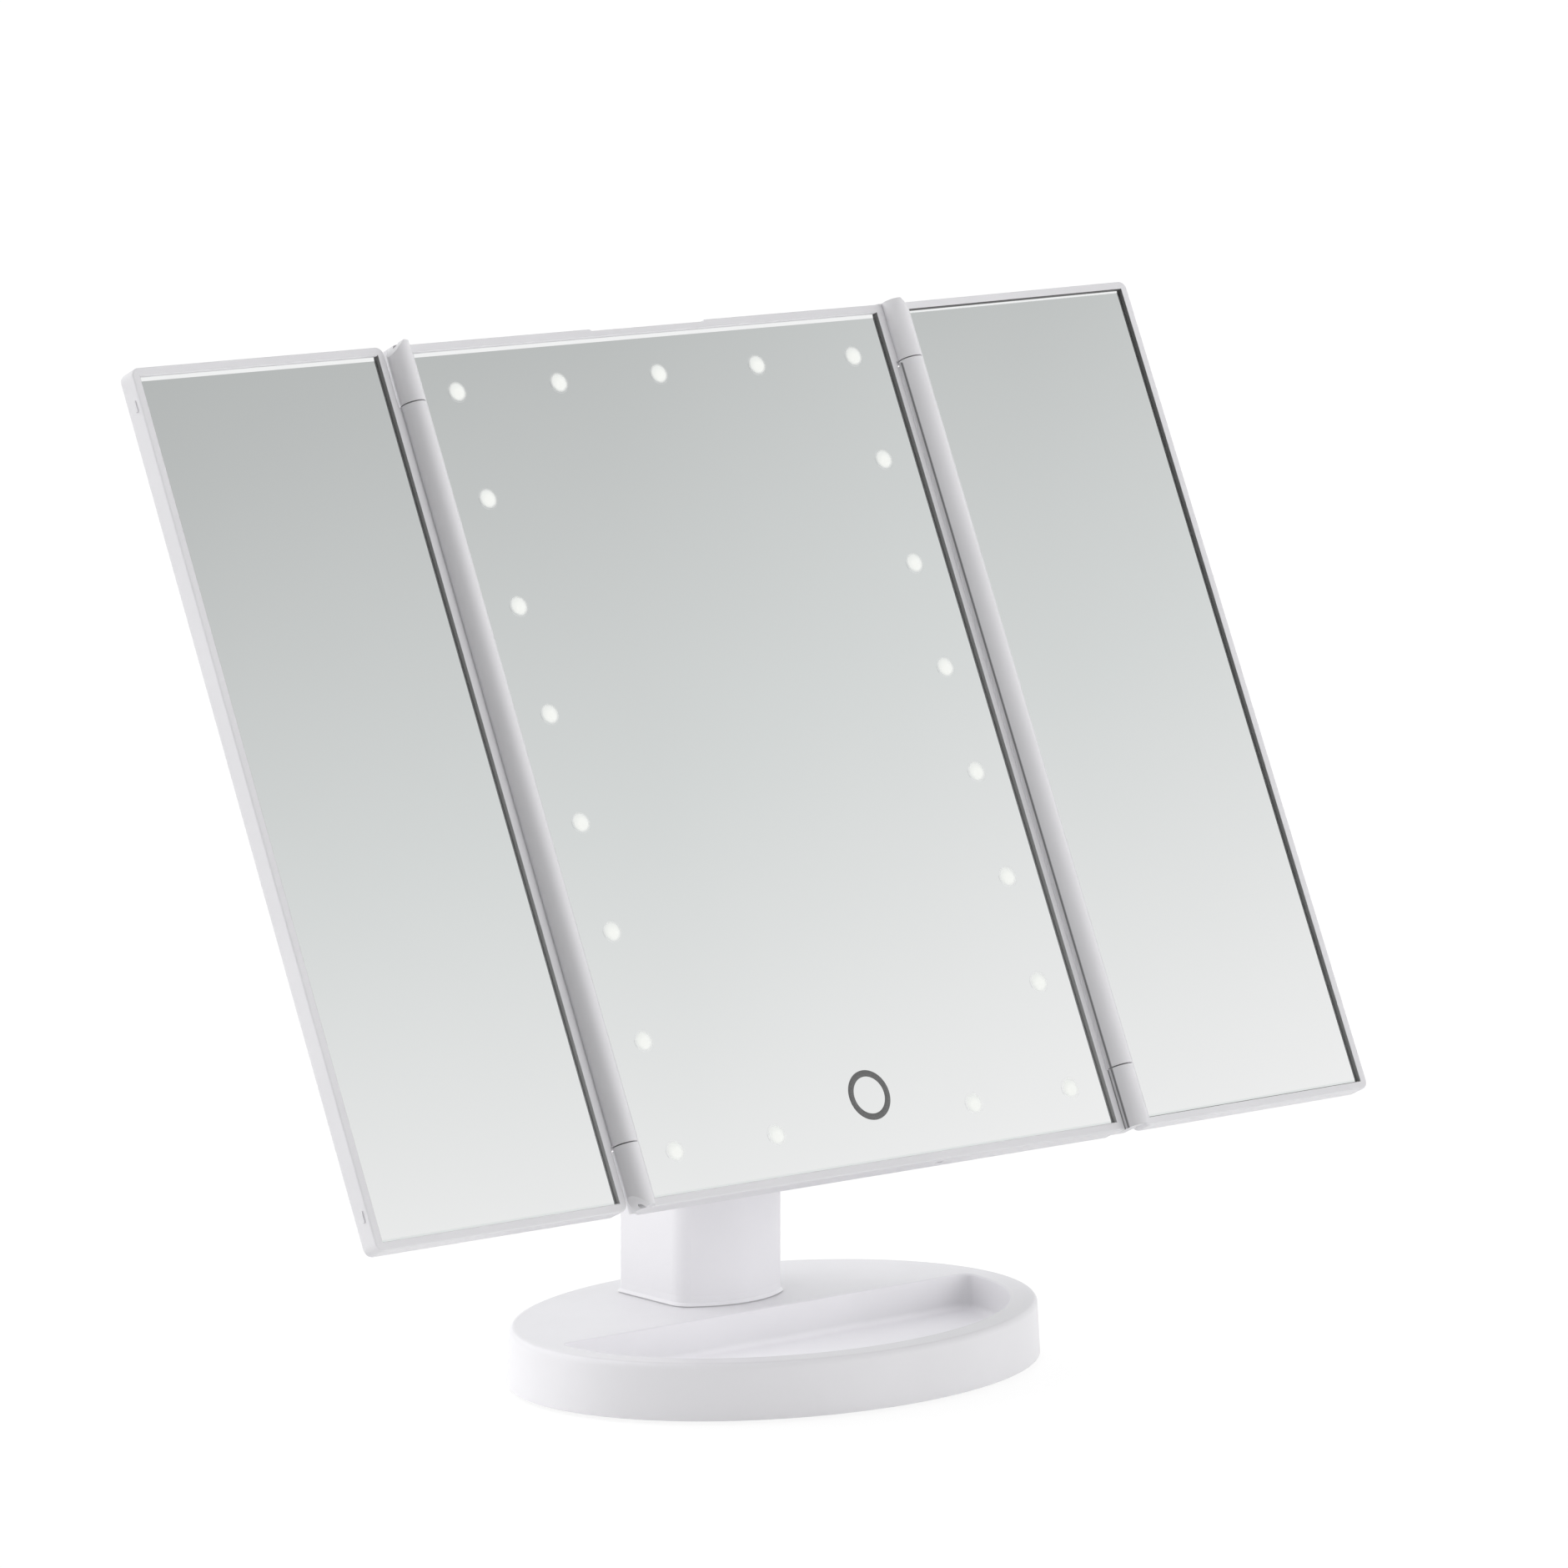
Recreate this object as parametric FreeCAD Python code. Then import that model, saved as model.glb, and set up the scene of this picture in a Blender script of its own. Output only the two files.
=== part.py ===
import FreeCAD, Part
import math
import os

# Trifold vanity mirror on a stand, in millimetres. X runs to the right of someone facing the mirror, Y away
# from them and Z up. The origin lies on the table under the centre of the oval base.

# ---- oval base -----------------------------------------------------------------------------------
BASE_WIDTH = 159.6  # at the lower edge
BASE_DEPTH = 120.2
BASE_HEIGHT = 15.3  # height of the moulded wall
BASE_DRAFT = 0.8  # the wall leans in by this much over its height
BASE_EDGE_ROUND = 1.7
BASE_WALL = 2.2
TRAY_RIM = 7.5  # flat rim between the outer edge and the tray
TRAY_DEPTH = 9.8
DECK_DEPTH = 56.7  # from the tray's straight rear edge to the back of the base
TRAY_DRAFT = 1.2
TRAY_FLOOR_ROUND = 2.4
TRAY_CORNER = 3.0  # the two rear corners
TRAY_EDGE_ROUND = 0.6
FOOT_DIAMETER = 12.0
FOOT_STANDOFF = 1.0  # the feet hold the base this far off the table
FOOT_RECESS = 0.8
FOOT_EDGE_DISTANCE = 13.0  # foot centres inside the lower edge
FOOT_ANGLE = 40.0  # degrees around the oval, from the X axis
BASE_PLATE_THICKNESS = 1.8
BASE_PLATE_FIT = 0.25
BASE_SCREW_EDGE_DISTANCE = 11.0
BASE_SCREW_ANGLE = 62.0  # the rear pair's angle around the oval

# ---- cells, springs and contacts -----------------------------------------------------------------
CELL_DIAMETER = 14.5
CELL_LENGTH = 50.5
CELL_NUB_DIAMETER = 5.4
CELL_NUB_HEIGHT = 1.3
CELL_GAP = 0.3  # between the two cells side by side
CELL_SIDE_CLEARANCE = 0.25
SPRING_LENGTH = 3.2
SPRING_WIRE = 0.7
SPRING_DIAMETER = 7.0
SPRING_TURNS = 2.5
CONTACT_THICKNESS = 0.4
CONTACT_WIDTH = 11.0

# ---- column --------------------------------------------------------------------------------------
COLUMN_DEPTH = 33.0  # through the middle, at the foot
COLUMN_WALL = 1.9
COLUMN_FRONT_CORNER = 6.0
COLUMN_REAR_CORNER = 1.2
CAVITY_REAR_CORNER = 0.6
BAY_CORNER = 0.8
COLUMN_FRONT_BULGE = 6.8  # the bowed front stands this far before the sides' front edges
COLUMN_SETBACK = 8.8  # from the tray's rear edge to the column
AXIS_SETBACK = 17.9  # the tilt axis lies this far behind the column's front
HUB_RADIUS = 13.5
FRONT_SHOULDER_RISE = 43.7  # the front leans back to the hub from this far above the base
REAR_SHOULDER_DROP = 6.0  # the back leans in to the hub from this far below the cavity's top
FLARE = 0.7  # the foot widens by this much on every side
FLARE_HEIGHT = 2.6
FOOT_GROOVE = 0.3  # height of the shadow groove under the foot
FOOT_GROOVE_DEPTH = 0.5
BAY_WALL = 1.2
BAY_FIT = 0.2
BAY_RISE = 11.2  # free height under the battery bay for the power inlet
NECK_SPACE = 9.6  # free height over the battery bay for the leads
HUB_SOLID = 9.0  # solid plastic under the tilt axle
DOOR_CLEARANCE = 0.35
DOOR_PIVOT_DIAMETER = 1.2
DOOR_PIVOT_LENGTH = 1.2
DOOR_PIVOT_CLEARANCE = 0.1
GRIP_RADIUS = 11.6
GRIP_WIDTH = 11.6
GRIP_DEPTH = 0.95
GRIP_FROM_TOP = 7.3
COLUMN_BOSS_MERGE = 0.8  # the front screw bosses run into the column's side walls by this much

# ---- power inlet ---------------------------------------------------------------------------------
INLET_BOARD_WIDTH = 16.0
INLET_BOARD_LENGTH = 13.0
BOARD_THICKNESS = 1.2
INLET_PILLAR_HEIGHT = 2.7
SOCKET_WIDTH = 7.4
SOCKET_HEIGHT = 2.6
SOCKET_LENGTH = 5.6
SOCKET_WALL = 0.3
SOCKET_CLEARANCE = 0.35

# ---- tilt hinge ----------------------------------------------------------------------------------
LEAN_SHOWN = 25.5  # degrees that the head leans back as modelled
AXLE_DIAMETER = 6.0
AXLE_CLEARANCE = 0.1
AXLE_HEAD_DIAMETER = 10.0
AXLE_HEAD_HEIGHT = 2.0
NUT_FLATS = 10.0
WASHER_DIAMETER = 16.0
WASHER_THICKNESS = 0.8
WASHER_GAP = 0.1
EAR_THICKNESS = 4.5
EAR_RADIUS = 11.0
EAR_RECESS = 3.0
CAP_THICKNESS = 1.2
YOKE_PLATE = 2.0
YOKE_FLANGE = 8.0  # the plate runs this far past each ear
YOKE_HEIGHT = 32.0
YOKE_CORNER = 4.0
HUB_CLEARANCE = 0.7  # between the yoke plate and the column's round top
LEAD_HOLE = 6.0

# ---- head: three panels --------------------------------------------------------------------------
HEAD_HEIGHT = 240.8
CENTRE_WIDTH = 165.6
PANEL_THICKNESS = 6.4
RIM = 2.2
CENTRE_SIDE_RIM = 2.0
PANEL_CORNER = 2.4
PANEL_FRONT_ROUND = 0.5
PANEL_REAR_ROUND = 0.8
GLASS_RECESS = 1.15
GLASS_THICKNESS = 1.8
GLASS_CLEARANCE = 0.2
GLASS_BEVEL_WIDTH = 0.7
GLASS_BEVEL_DEPTH = 0.1
TAPE_THICKNESS = 0.3
TAPE_WIDTH = 6.0
FLOOR_THICKNESS = 1.4
BACK_THICKNESS = 1.4
BACK_FIT = 0.15
SNAP_LENGTH = 6.0
SNAP_DEPTH = 0.5
SNAP_HEIGHT = 0.8
NOTCH_WIDTH = 40.4
NOTCH_DEPTH = 0.65
NIB_LENGTH = 3.0
NIB_WIDTH = 1.0
NIB_PROUD = 0.35
NIB_FROM_END = 10.0
PRY_SLOT_WIDTH = 2.6
PRY_SLOT_HEIGHT = 1.4
PRY_SLOT_DEPTH = 0.8
PRY_SLOT_X = 18.6

# ---- panel hinges --------------------------------------------------------------------------------
BARREL_DIAMETER = 6.8
BARREL_SIDE_GAP = 0.3  # barrel to the panel that it turns against
HINGE_RISE = 1.3  # hinge axis ahead of the rim's front plane
KNUCKLE_LENGTH = 17.0
KNUCKLE_GAP = 0.35
ROD_DIAMETER = 2.2
ROD_CLEARANCE = 0.1
ROD_PRESS_CLEARANCE = 0.02
ROD_SUNK = 2.4
PANEL_MEETING_GAP = 1.8  # between the two folded side panels
RIGHT_FOLD_SHOWN = 1.4  # degrees that the right panel is folded in as modelled

# ---- lights and electronics ----------------------------------------------------------------------
LIGHT_COLUMNS = 5
LIGHT_ROWS = 8
LIGHT_INSET = 11.8  # light centres inside the rim's opening
LIGHT_BORE = 7.0
DIFFUSER_FIT = 0.1
DIFFUSER_THICKNESS = 1.5
LIGHT_TUBE_WALL = 1.5
LIGHT_TUBE_HEIGHT = 1.05
LED_LENGTH = 3.5
LED_WIDTH = 2.8
LED_HEIGHT = 0.8
STRIP_WIDTH = 9.0
STRIP_THICKNESS = 1.0
STRIP_PIN_DIAMETER = 1.8
STRIP_PIN_CLEARANCE = 0.1
STRIP_PIN_HEIGHT = 0.7
TOUCH_HEIGHT = 18.5  # touch ring's centre over the opening's lower edge
TOUCH_SPRING_DIAMETER = 8.0
TOUCH_SPRING_WIRE = 0.7
TOUCH_SPRING_TURNS = 2.5
TOUCH_BORE = 11.0
CONTROL_BOARD_WIDTH = 38.0
CONTROL_BOARD_HEIGHT = 20.0

# ---- rear cover and switch -----------------------------------------------------------------------
HEAD_DEPTH = 14.3  # rim's front plane to the cover's back
COVER_WALL = 1.8
COVER_SKIRT = 1.2  # straight part of the cover's side
COVER_TAPER = 7.0  # the cover's side leans in by this much
COVER_LIP = 1.2
COVER_LIP_HEIGHT = 1.3
COVER_BOSS_INSET = 10.0  # cover screws inside the lights' rectangle
SWITCH_BODY_WIDTH = 10.0
SWITCH_BODY_HEIGHT = 5.0
SWITCH_BODY_CLEARANCE = 0.1  # below the cover's inner face
SWITCH_WALL = 1.3
KNOB_WIDTH = 5.0
KNOB_HEIGHT = 3.4
KNOB_PROUD = 1.0
KNOB_STEM_WIDTH = 2.4
KNOB_STEM_HEIGHT = 1.8
SWITCH_TRAVEL = 3.0
KNOB_CLEARANCE = 0.3

# ---- screws --------------------------------------------------------------------------------------
SCREW_DIAMETER = 2.8
SCREW_HEAD_DIAMETER = 5.2
SCREW_HEAD_HEIGHT = 1.0
SCREW_BORE_CLEARANCE = 0.05
SCREW_PASS_CLEARANCE = 0.2
SCREW_LENGTH = 8.0
SMALL_SCREW_DIAMETER = 1.8
SMALL_SCREW_HEAD = 3.4
BOSS_WALL = 1.7
LEAD_DIAMETER = 1.4
LEAD_SPACING = 2.0

# ---- heights and depths that follow --------------------------------------------------------------
BASE_TOP = FOOT_STANDOFF + BASE_HEIGHT
BASE_A = BASE_WIDTH / 2
BASE_B = BASE_DEPTH / 2
TRAY_BACK_Y = BASE_B - DECK_DEPTH
TRAY_FLOOR = BASE_TOP - TRAY_DEPTH
PLATE_TOP = FOOT_STANDOFF + BASE_PLATE_THICKNESS

BAY_INNER_WIDTH = 2 * CELL_DIAMETER + CELL_GAP + 2 * CELL_SIDE_CLEARANCE
COLUMN_WIDTH = BAY_INNER_WIDTH + 2 * (BAY_WALL + BAY_FIT + COLUMN_WALL)
SLOT_LENGTH = CELL_LENGTH + SPRING_LENGTH + 2 * CONTACT_THICKNESS
BAY_BOTTOM = BASE_TOP + BAY_RISE
BAY_TOP = BAY_BOTTOM + 2 * SLOT_LENGTH + 3 * BAY_WALL
AXIS_Z = BAY_TOP + NECK_SPACE + HUB_SOLID
COLUMN_FRONT = TRAY_BACK_Y + COLUMN_SETBACK
COLUMN_BACK = COLUMN_FRONT + COLUMN_DEPTH
AXIS_Y = COLUMN_FRONT + AXIS_SETBACK
CAVITY_TOP = AXIS_Z - HUB_SOLID
FRONT_SHOULDER_Z = BASE_TOP + FRONT_SHOULDER_RISE
CELL_Y = COLUMN_BACK - COLUMN_WALL - 2 * BAY_FIT - CELL_DIAMETER / 2
BAY_FLOOR_BACK = CELL_Y - CELL_DIAMETER / 2 - CELL_SIDE_CLEARANCE
BAY_FLOOR_FRONT = BAY_FLOOR_BACK - BAY_WALL
DOOR_BOTTOM = BAY_BOTTOM + BAY_WALL
DOOR_TOP = BAY_TOP - BAY_WALL
INLET_BOARD_Z = BASE_TOP + INLET_PILLAR_HEIGHT
SOCKET_Z = INLET_BOARD_Z + BOARD_THICKNESS + SOCKET_HEIGHT / 2

FACE_TO_AXIS = HEAD_DEPTH + YOKE_PLATE + HUB_CLEARANCE + HUB_RADIUS
EAR_INNER_X = COLUMN_WIDTH / 2 + WASHER_THICKNESS + WASHER_GAP
EAR_OUTER_X = EAR_INNER_X + EAR_THICKNESS

HALF_HEIGHT = HEAD_HEIGHT / 2
CENTRE_HALF = CENTRE_WIDTH / 2
BARREL_RADIUS = BARREL_DIAMETER / 2
HINGE_X = CENTRE_HALF + BARREL_RADIUS + BARREL_SIDE_GAP
SIDE_INNER = HINGE_X + BARREL_RADIUS + BARREL_SIDE_GAP
SIDE_OUTER = 2 * HINGE_X - PANEL_MEETING_GAP / 2
KNUCKLE_START = HALF_HEIGHT - KNUCKLE_LENGTH
OPENING_HALF_WIDTH = CENTRE_HALF - CENTRE_SIDE_RIM
OPENING_HALF_HEIGHT = HALF_HEIGHT - RIM
GLASS_BACK = GLASS_RECESS + GLASS_THICKNESS
FLOOR_FRONT = GLASS_BACK + TAPE_THICKNESS
FLOOR_BACK = FLOOR_FRONT + FLOOR_THICKNESS
STRIP_FRONT = FLOOR_BACK + LIGHT_TUBE_HEIGHT
STRIP_BACK = STRIP_FRONT + STRIP_THICKNESS
COVER_INNER = HEAD_DEPTH - COVER_WALL
LIGHT_HALF_X = OPENING_HALF_WIDTH - LIGHT_INSET
LIGHT_HALF_Z = OPENING_HALF_HEIGHT - LIGHT_INSET
LIGHT_PITCH_X = 2 * LIGHT_HALF_X / (LIGHT_COLUMNS - 1)
LIGHT_PITCH_Z = 2 * LIGHT_HALF_Z / (LIGHT_ROWS - 1)
TOUCH_Z = TOUCH_HEIGHT - OPENING_HALF_HEIGHT
SWITCH_BODY_BACK = COVER_INNER - SWITCH_BODY_CLEARANCE
SWITCH_BODY_DEPTH = 2.8
CONTROL_BACK = SWITCH_BODY_BACK - SWITCH_BODY_DEPTH
CONTROL_FRONT = CONTROL_BACK - BOARD_THICKNESS

X_DIR = FreeCAD.Vector(1, 0, 0)
Y_DIR = FreeCAD.Vector(0, 1, 0)
Z_DIR = FreeCAD.Vector(0, 0, 1)


# ---- shared shapes -------------------------------------------------------------------------------
def box(x0, x1, y0, y1, z0, z1):
    """A block between two corners."""
    return Part.makeBox(x1 - x0, y1 - y0, z1 - z0, FreeCAD.Vector(x0, y0, z0))


def rod_x(radius, x0, x1, y, z):
    """A round bar along X."""
    return Part.makeCylinder(radius, x1 - x0, FreeCAD.Vector(x0, y, z), X_DIR)


def rod_y(radius, x, y0, y1, z):
    """A round bar along Y."""
    return Part.makeCylinder(radius, y1 - y0, FreeCAD.Vector(x, y0, z), Y_DIR)


def rod_z(radius, x, y, z0, z1):
    """An upright round bar."""
    return Part.makeCylinder(radius, z1 - z0, FreeCAD.Vector(x, y, z0), Z_DIR)


def edges_along(shape, direction):
    """The straight edges that run along one direction."""
    found = []
    for edge in shape.Edges:
        if not isinstance(edge.Curve, Part.Line):
            continue
        if abs(edge.tangentAt(edge.FirstParameter).dot(direction)) > 0.999:
            found.append(edge)
    return found


def edges_near(shape, wanted):
    """The shape's edges that have the same middles as the wanted ones."""
    middles = [edge.CenterOfMass for edge in wanted]
    return [edge for edge in shape.Edges if any(edge.CenterOfMass.distanceToPoint(m) < 1e-3 for m in middles)]


def edges_rising(shape, height):
    """The edges that climb at least a given height."""
    return [edge for edge in shape.Edges if edge.BoundBox.ZMax - edge.BoundBox.ZMin > height]


def edges_in_plane(shape, axis, value):
    """The edges that lie wholly in the plane where the named coordinate has the given value."""
    low, high = axis + "Min", axis + "Max"
    found = []
    for edge in shape.Edges:
        bounds = edge.BoundBox
        if abs(getattr(bounds, low) - value) < 1e-3 and abs(getattr(bounds, high) - value) < 1e-3:
            found.append(edge)
    return found


def slab(x0, x1, y0, y1, z0, z1, corner):
    """A plate facing Y with its four corners rounded."""
    plate = box(x0, x1, y0, y1, z0, z1)
    return plate.makeFillet(corner, edges_along(plate, Y_DIR))


def fuse(first, others):
    """One solid from several, with the seams between joined faces removed."""
    return first.fuse(others).removeSplitter()


def both_sides(make):
    """A shape on the right side and its mirror image on the left."""
    right = make()
    return [right, mirrored(right)]


def mirrored(shape):
    """The mirror image across the plane X = 0."""
    return shape.mirror(FreeCAD.Vector(0, 0, 0), X_DIR)


def coil(wire, diameter, length, turns, start, direction):
    """A round-wire coil spring of a given outer diameter and length, from a start point along a direction.

    Its helix is drawn half a turn at a time, so the turns are a whole number of halves.
    """
    radius = (diameter - wire) / 2
    pitch = (length - wire) / turns
    rise = pitch / 2
    edges = []
    for step in range(round(2 * turns)):
        half_turn = Part.makeHelix(pitch, rise, radius)
        half_turn.rotate(FreeCAD.Vector(), Z_DIR, 180 * step)
        half_turn.translate(FreeCAD.Vector(0, 0, rise * step))
        edges += half_turn.Edges
    profile = Part.Wire(Part.makeCircle(wire / 2, FreeCAD.Vector(radius, 0, 0), Y_DIR))
    spring = Part.Wire(edges).makePipeShell([profile], True, True)
    spring.translate(FreeCAD.Vector(0, 0, wire / 2))
    spring.Placement = FreeCAD.Placement(start, FreeCAD.Rotation(Z_DIR, direction)).multiply(spring.Placement)
    return spring


def lead(points):
    """An insulated lead that runs straight from point to point, rounded at its bends."""
    radius = LEAD_DIAMETER / 2
    pieces = []
    for start, end in zip(points, points[1:]):
        pieces.append(Part.makeCylinder(radius, (end - start).Length, start, end - start))
    bends = [Part.makeSphere(radius, point) for point in points[1:-1]]
    return pieces[0].fuse(pieces[1:] + bends)


def lead_pair(route):
    """Two leads side by side. The route holds each bend's distance from the middle, its Y and its Z."""
    leads = []
    for side in (-1, 1):
        leads.append(lead([FreeCAD.Vector(side * x, y, z) for x, y, z in route]))
    return Part.makeCompound(leads)


def screw(x, y, z, direction, length, diameter, head_diameter, head_height):
    """A screw whose head seats at the given point and whose shank runs along the given direction."""
    seat = FreeCAD.Vector(x, y, z)
    head = Part.makeCylinder(head_diameter / 2, head_height, seat - direction * head_height, direction)
    shank = Part.makeCylinder(diameter / 2, length, seat, direction)
    return head.fuse(shank)


def tapping_screw(x, y, z, direction, length=SCREW_LENGTH):
    """The standard self-tapping screw of the casings."""
    return screw(x, y, z, direction, length, SCREW_DIAMETER, SCREW_HEAD_DIAMETER, SCREW_HEAD_HEIGHT)


def board_screw(x, y, z, direction, length):
    """The small screw of the circuit boards."""
    return screw(x, y, z, direction, length, SMALL_SCREW_DIAMETER, SMALL_SCREW_HEAD, SCREW_HEAD_HEIGHT)


BOSS_RADIUS = SCREW_DIAMETER / 2 + BOSS_WALL
SMALL_BOSS_RADIUS = SMALL_SCREW_DIAMETER / 2 + BOSS_WALL / 2
SCREW_BORE = SCREW_DIAMETER / 2 + SCREW_BORE_CLEARANCE
SCREW_PASS = SCREW_DIAMETER / 2 + SCREW_PASS_CLEARANCE
SMALL_BORE = SMALL_SCREW_DIAMETER / 2 + SCREW_BORE_CLEARANCE
SMALL_PASS = SMALL_SCREW_DIAMETER / 2 + SCREW_PASS_CLEARANCE
HEAD_SINK = SCREW_HEAD_HEIGHT + SCREW_PASS_CLEARANCE
HEAD_POCKET = SCREW_HEAD_DIAMETER / 2 + SCREW_PASS_CLEARANCE


# ---- base ----------------------------------------------------------------------------------------
def oval(inset, z):
    """An oval outline, inset from the base's lower edge."""
    centre = FreeCAD.Vector(0, 0, z)
    return Part.Wire(Part.Ellipse(centre, BASE_A - inset, BASE_B - inset).toShape())


def oval_frustum(low_inset, high_inset, z0, z1):
    """A drafted oval body between two heights."""
    return Part.makeLoft([oval(low_inset, z0), oval(high_inset, z1)], True, True)


def tray_body(grow, z0, z1):
    """The D-shaped tray's volume: a drafted oval cut off behind by a drafted wall, widened by grow."""
    slope = TRAY_DRAFT / TRAY_DEPTH
    low = TRAY_DRAFT - slope * (z0 - TRAY_FLOOR)
    high = TRAY_DRAFT - slope * (z1 - TRAY_FLOOR)
    inset = BASE_DRAFT + TRAY_RIM - grow
    body = oval_frustum(inset + low, inset + high, z0, z1)
    back = TRAY_BACK_Y + grow
    outline = [
        FreeCAD.Vector(-BASE_A, -BASE_B, z0),
        FreeCAD.Vector(-BASE_A, back - low, z0),
        FreeCAD.Vector(-BASE_A, back - high, z1),
        FreeCAD.Vector(-BASE_A, -BASE_B, z1),
    ]
    outline.append(outline[0])
    front = Part.Face(Part.makePolygon(outline)).extrude(FreeCAD.Vector(BASE_WIDTH, 0, 0))
    return body.common(front)


def tray_recess():
    """The tray's hollow, with round rear corners and a rounded floor edge."""
    recess = tray_body(0, TRAY_FLOOR, BASE_TOP + 1)
    recess = recess.makeFillet(TRAY_CORNER, edges_rising(recess, BASE_TOP - TRAY_FLOOR))
    return recess.makeFillet(TRAY_FLOOR_ROUND, edges_in_plane(recess, "Z", TRAY_FLOOR))


def foot_spots():
    """Centres of the four feet, on an oval inside the lower edge."""
    angle = math.radians(FOOT_ANGLE)
    x = (BASE_A - FOOT_EDGE_DISTANCE) * math.cos(angle)
    y = (BASE_B - FOOT_EDGE_DISTANCE) * math.sin(angle)
    return [(x, y), (-x, y), (x, -y), (-x, -y)]


def base_screw_spots():
    """Centres of the four screws that hold the base plate: two behind, two beside the tray's rear wall."""
    wide = BASE_A - BASE_SCREW_EDGE_DISTANCE
    deep = BASE_B - BASE_SCREW_EDGE_DISTANCE
    angle = math.radians(BASE_SCREW_ANGLE)
    side_y = TRAY_BACK_Y + BASE_WALL + 2 * BOSS_RADIUS
    side_x = wide * math.sqrt(1 - (side_y / deep) ** 2)
    pairs = [(wide * math.cos(angle), deep * math.sin(angle)), (side_x, side_y)]
    return [(side * x, y) for x, y in pairs for side in (-1, 1)]


def column_boss_spots():
    """Centres of the two screws that hold the column, in its front corners."""
    x = COLUMN_WIDTH / 2 - COLUMN_WALL - BOSS_RADIUS + COLUMN_BOSS_MERGE
    y = COLUMN_FRONT + COLUMN_FRONT_BULGE + COLUMN_WALL + BOSS_RADIUS - COLUMN_BOSS_MERGE
    return [(-x, y), (x, y)]


def bay_leg_spots():
    """Centres of the two screws that hold the battery bay's legs, in the column's rear corners."""
    x = BAY_INNER_WIDTH / 2 + BAY_WALL - BOSS_RADIUS
    y = COLUMN_BACK - COLUMN_WALL - BAY_FIT - BOSS_RADIUS
    return [(-x, y), (x, y)]


def inlet_screw_spots():
    """Centres of the inlet board's two screws, at its front edge."""
    x = INLET_BOARD_WIDTH / 2 - SMALL_BOSS_RADIUS
    y = COLUMN_BACK - COLUMN_WALL - INLET_BOARD_LENGTH + SMALL_BOSS_RADIUS
    return [(-x, y), (x, y)]


def base_shell():
    """Oval moulding, open below, with the tray sunk into it and bosses for its plate and the column."""
    outer = oval_frustum(0, BASE_DRAFT, FOOT_STANDOFF, BASE_TOP)
    outer = outer.makeFillet(BASE_EDGE_ROUND, edges_in_plane(outer, "Z", BASE_TOP))
    ceiling = BASE_TOP - BASE_WALL
    hollow = oval_frustum(BASE_WALL, BASE_WALL + BASE_DRAFT, FOOT_STANDOFF, ceiling)
    hollow = hollow.cut(tray_body(BASE_WALL, TRAY_FLOOR - BASE_WALL, BASE_TOP))
    bosses = [rod_z(BOSS_RADIUS, x, y, PLATE_TOP, ceiling) for x, y in base_screw_spots()]
    hollow = hollow.cut(bosses)
    shell = outer.cut(tray_recess())
    rim = [edge for edge in edges_in_plane(shell, "Z", BASE_TOP) if edge.BoundBox.YMax < BASE_B / 2]
    shell = shell.makeFillet(TRAY_EDGE_ROUND, rim)
    shell = shell.cut(hollow)
    pillars = [rod_z(SMALL_BOSS_RADIUS, x, y, ceiling, INLET_BOARD_Z) for x, y in inlet_screw_spots()]
    shell = fuse(shell, pillars)
    cuts = [rod_z(SCREW_BORE, x, y, PLATE_TOP, PLATE_TOP + SCREW_LENGTH) for x, y in base_screw_spots()]
    cuts += [rod_z(SCREW_PASS, x, y, ceiling, BASE_TOP) for x, y in column_boss_spots() + bay_leg_spots()]
    cuts += [rod_z(SMALL_BORE, x, y, ceiling, INLET_BOARD_Z) for x, y in inlet_screw_spots()]
    return shell.cut(cuts)


def base_plate():
    """Plate that closes the base from below, with pockets for the feet and the screw heads."""
    inset = BASE_WALL + BASE_PLATE_FIT
    plate = oval_frustum(inset, inset, FOOT_STANDOFF, PLATE_TOP)
    recess_top = FOOT_STANDOFF + FOOT_RECESS
    cuts = [rod_z(FOOT_DIAMETER / 2, x, y, FOOT_STANDOFF, recess_top) for x, y in foot_spots()]
    for x, y in base_screw_spots():
        cuts.append(rod_z(HEAD_POCKET, x, y, FOOT_STANDOFF, FOOT_STANDOFF + SCREW_HEAD_HEIGHT))
        cuts.append(rod_z(SCREW_PASS, x, y, FOOT_STANDOFF, PLATE_TOP))
    return plate.cut(cuts)


def rubber_feet():
    """Four round pads, sunk into the plate."""
    feet = []
    for x, y in foot_spots():
        pad = rod_z(FOOT_DIAMETER / 2, x, y, 0, FOOT_STANDOFF + FOOT_RECESS)
        feet.append(pad.makeFillet(FOOT_STANDOFF / 3, edges_in_plane(pad, "Z", 0)))
    return Part.makeCompound(feet)


def base_screws():
    """Four screws through the plate into the shell's bosses."""
    seat = FOOT_STANDOFF + SCREW_HEAD_HEIGHT
    length = SCREW_LENGTH - 1
    return Part.makeCompound([tapping_screw(x, y, seat, Z_DIR, length) for x, y in base_screw_spots()])


def column_screws():
    """Four screws from inside the base up into the column's bosses and the battery bay's legs."""
    seat = BASE_TOP - BASE_WALL
    spots = column_boss_spots() + bay_leg_spots()
    return Part.makeCompound([tapping_screw(x, y, seat, Z_DIR) for x, y in spots])


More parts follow.
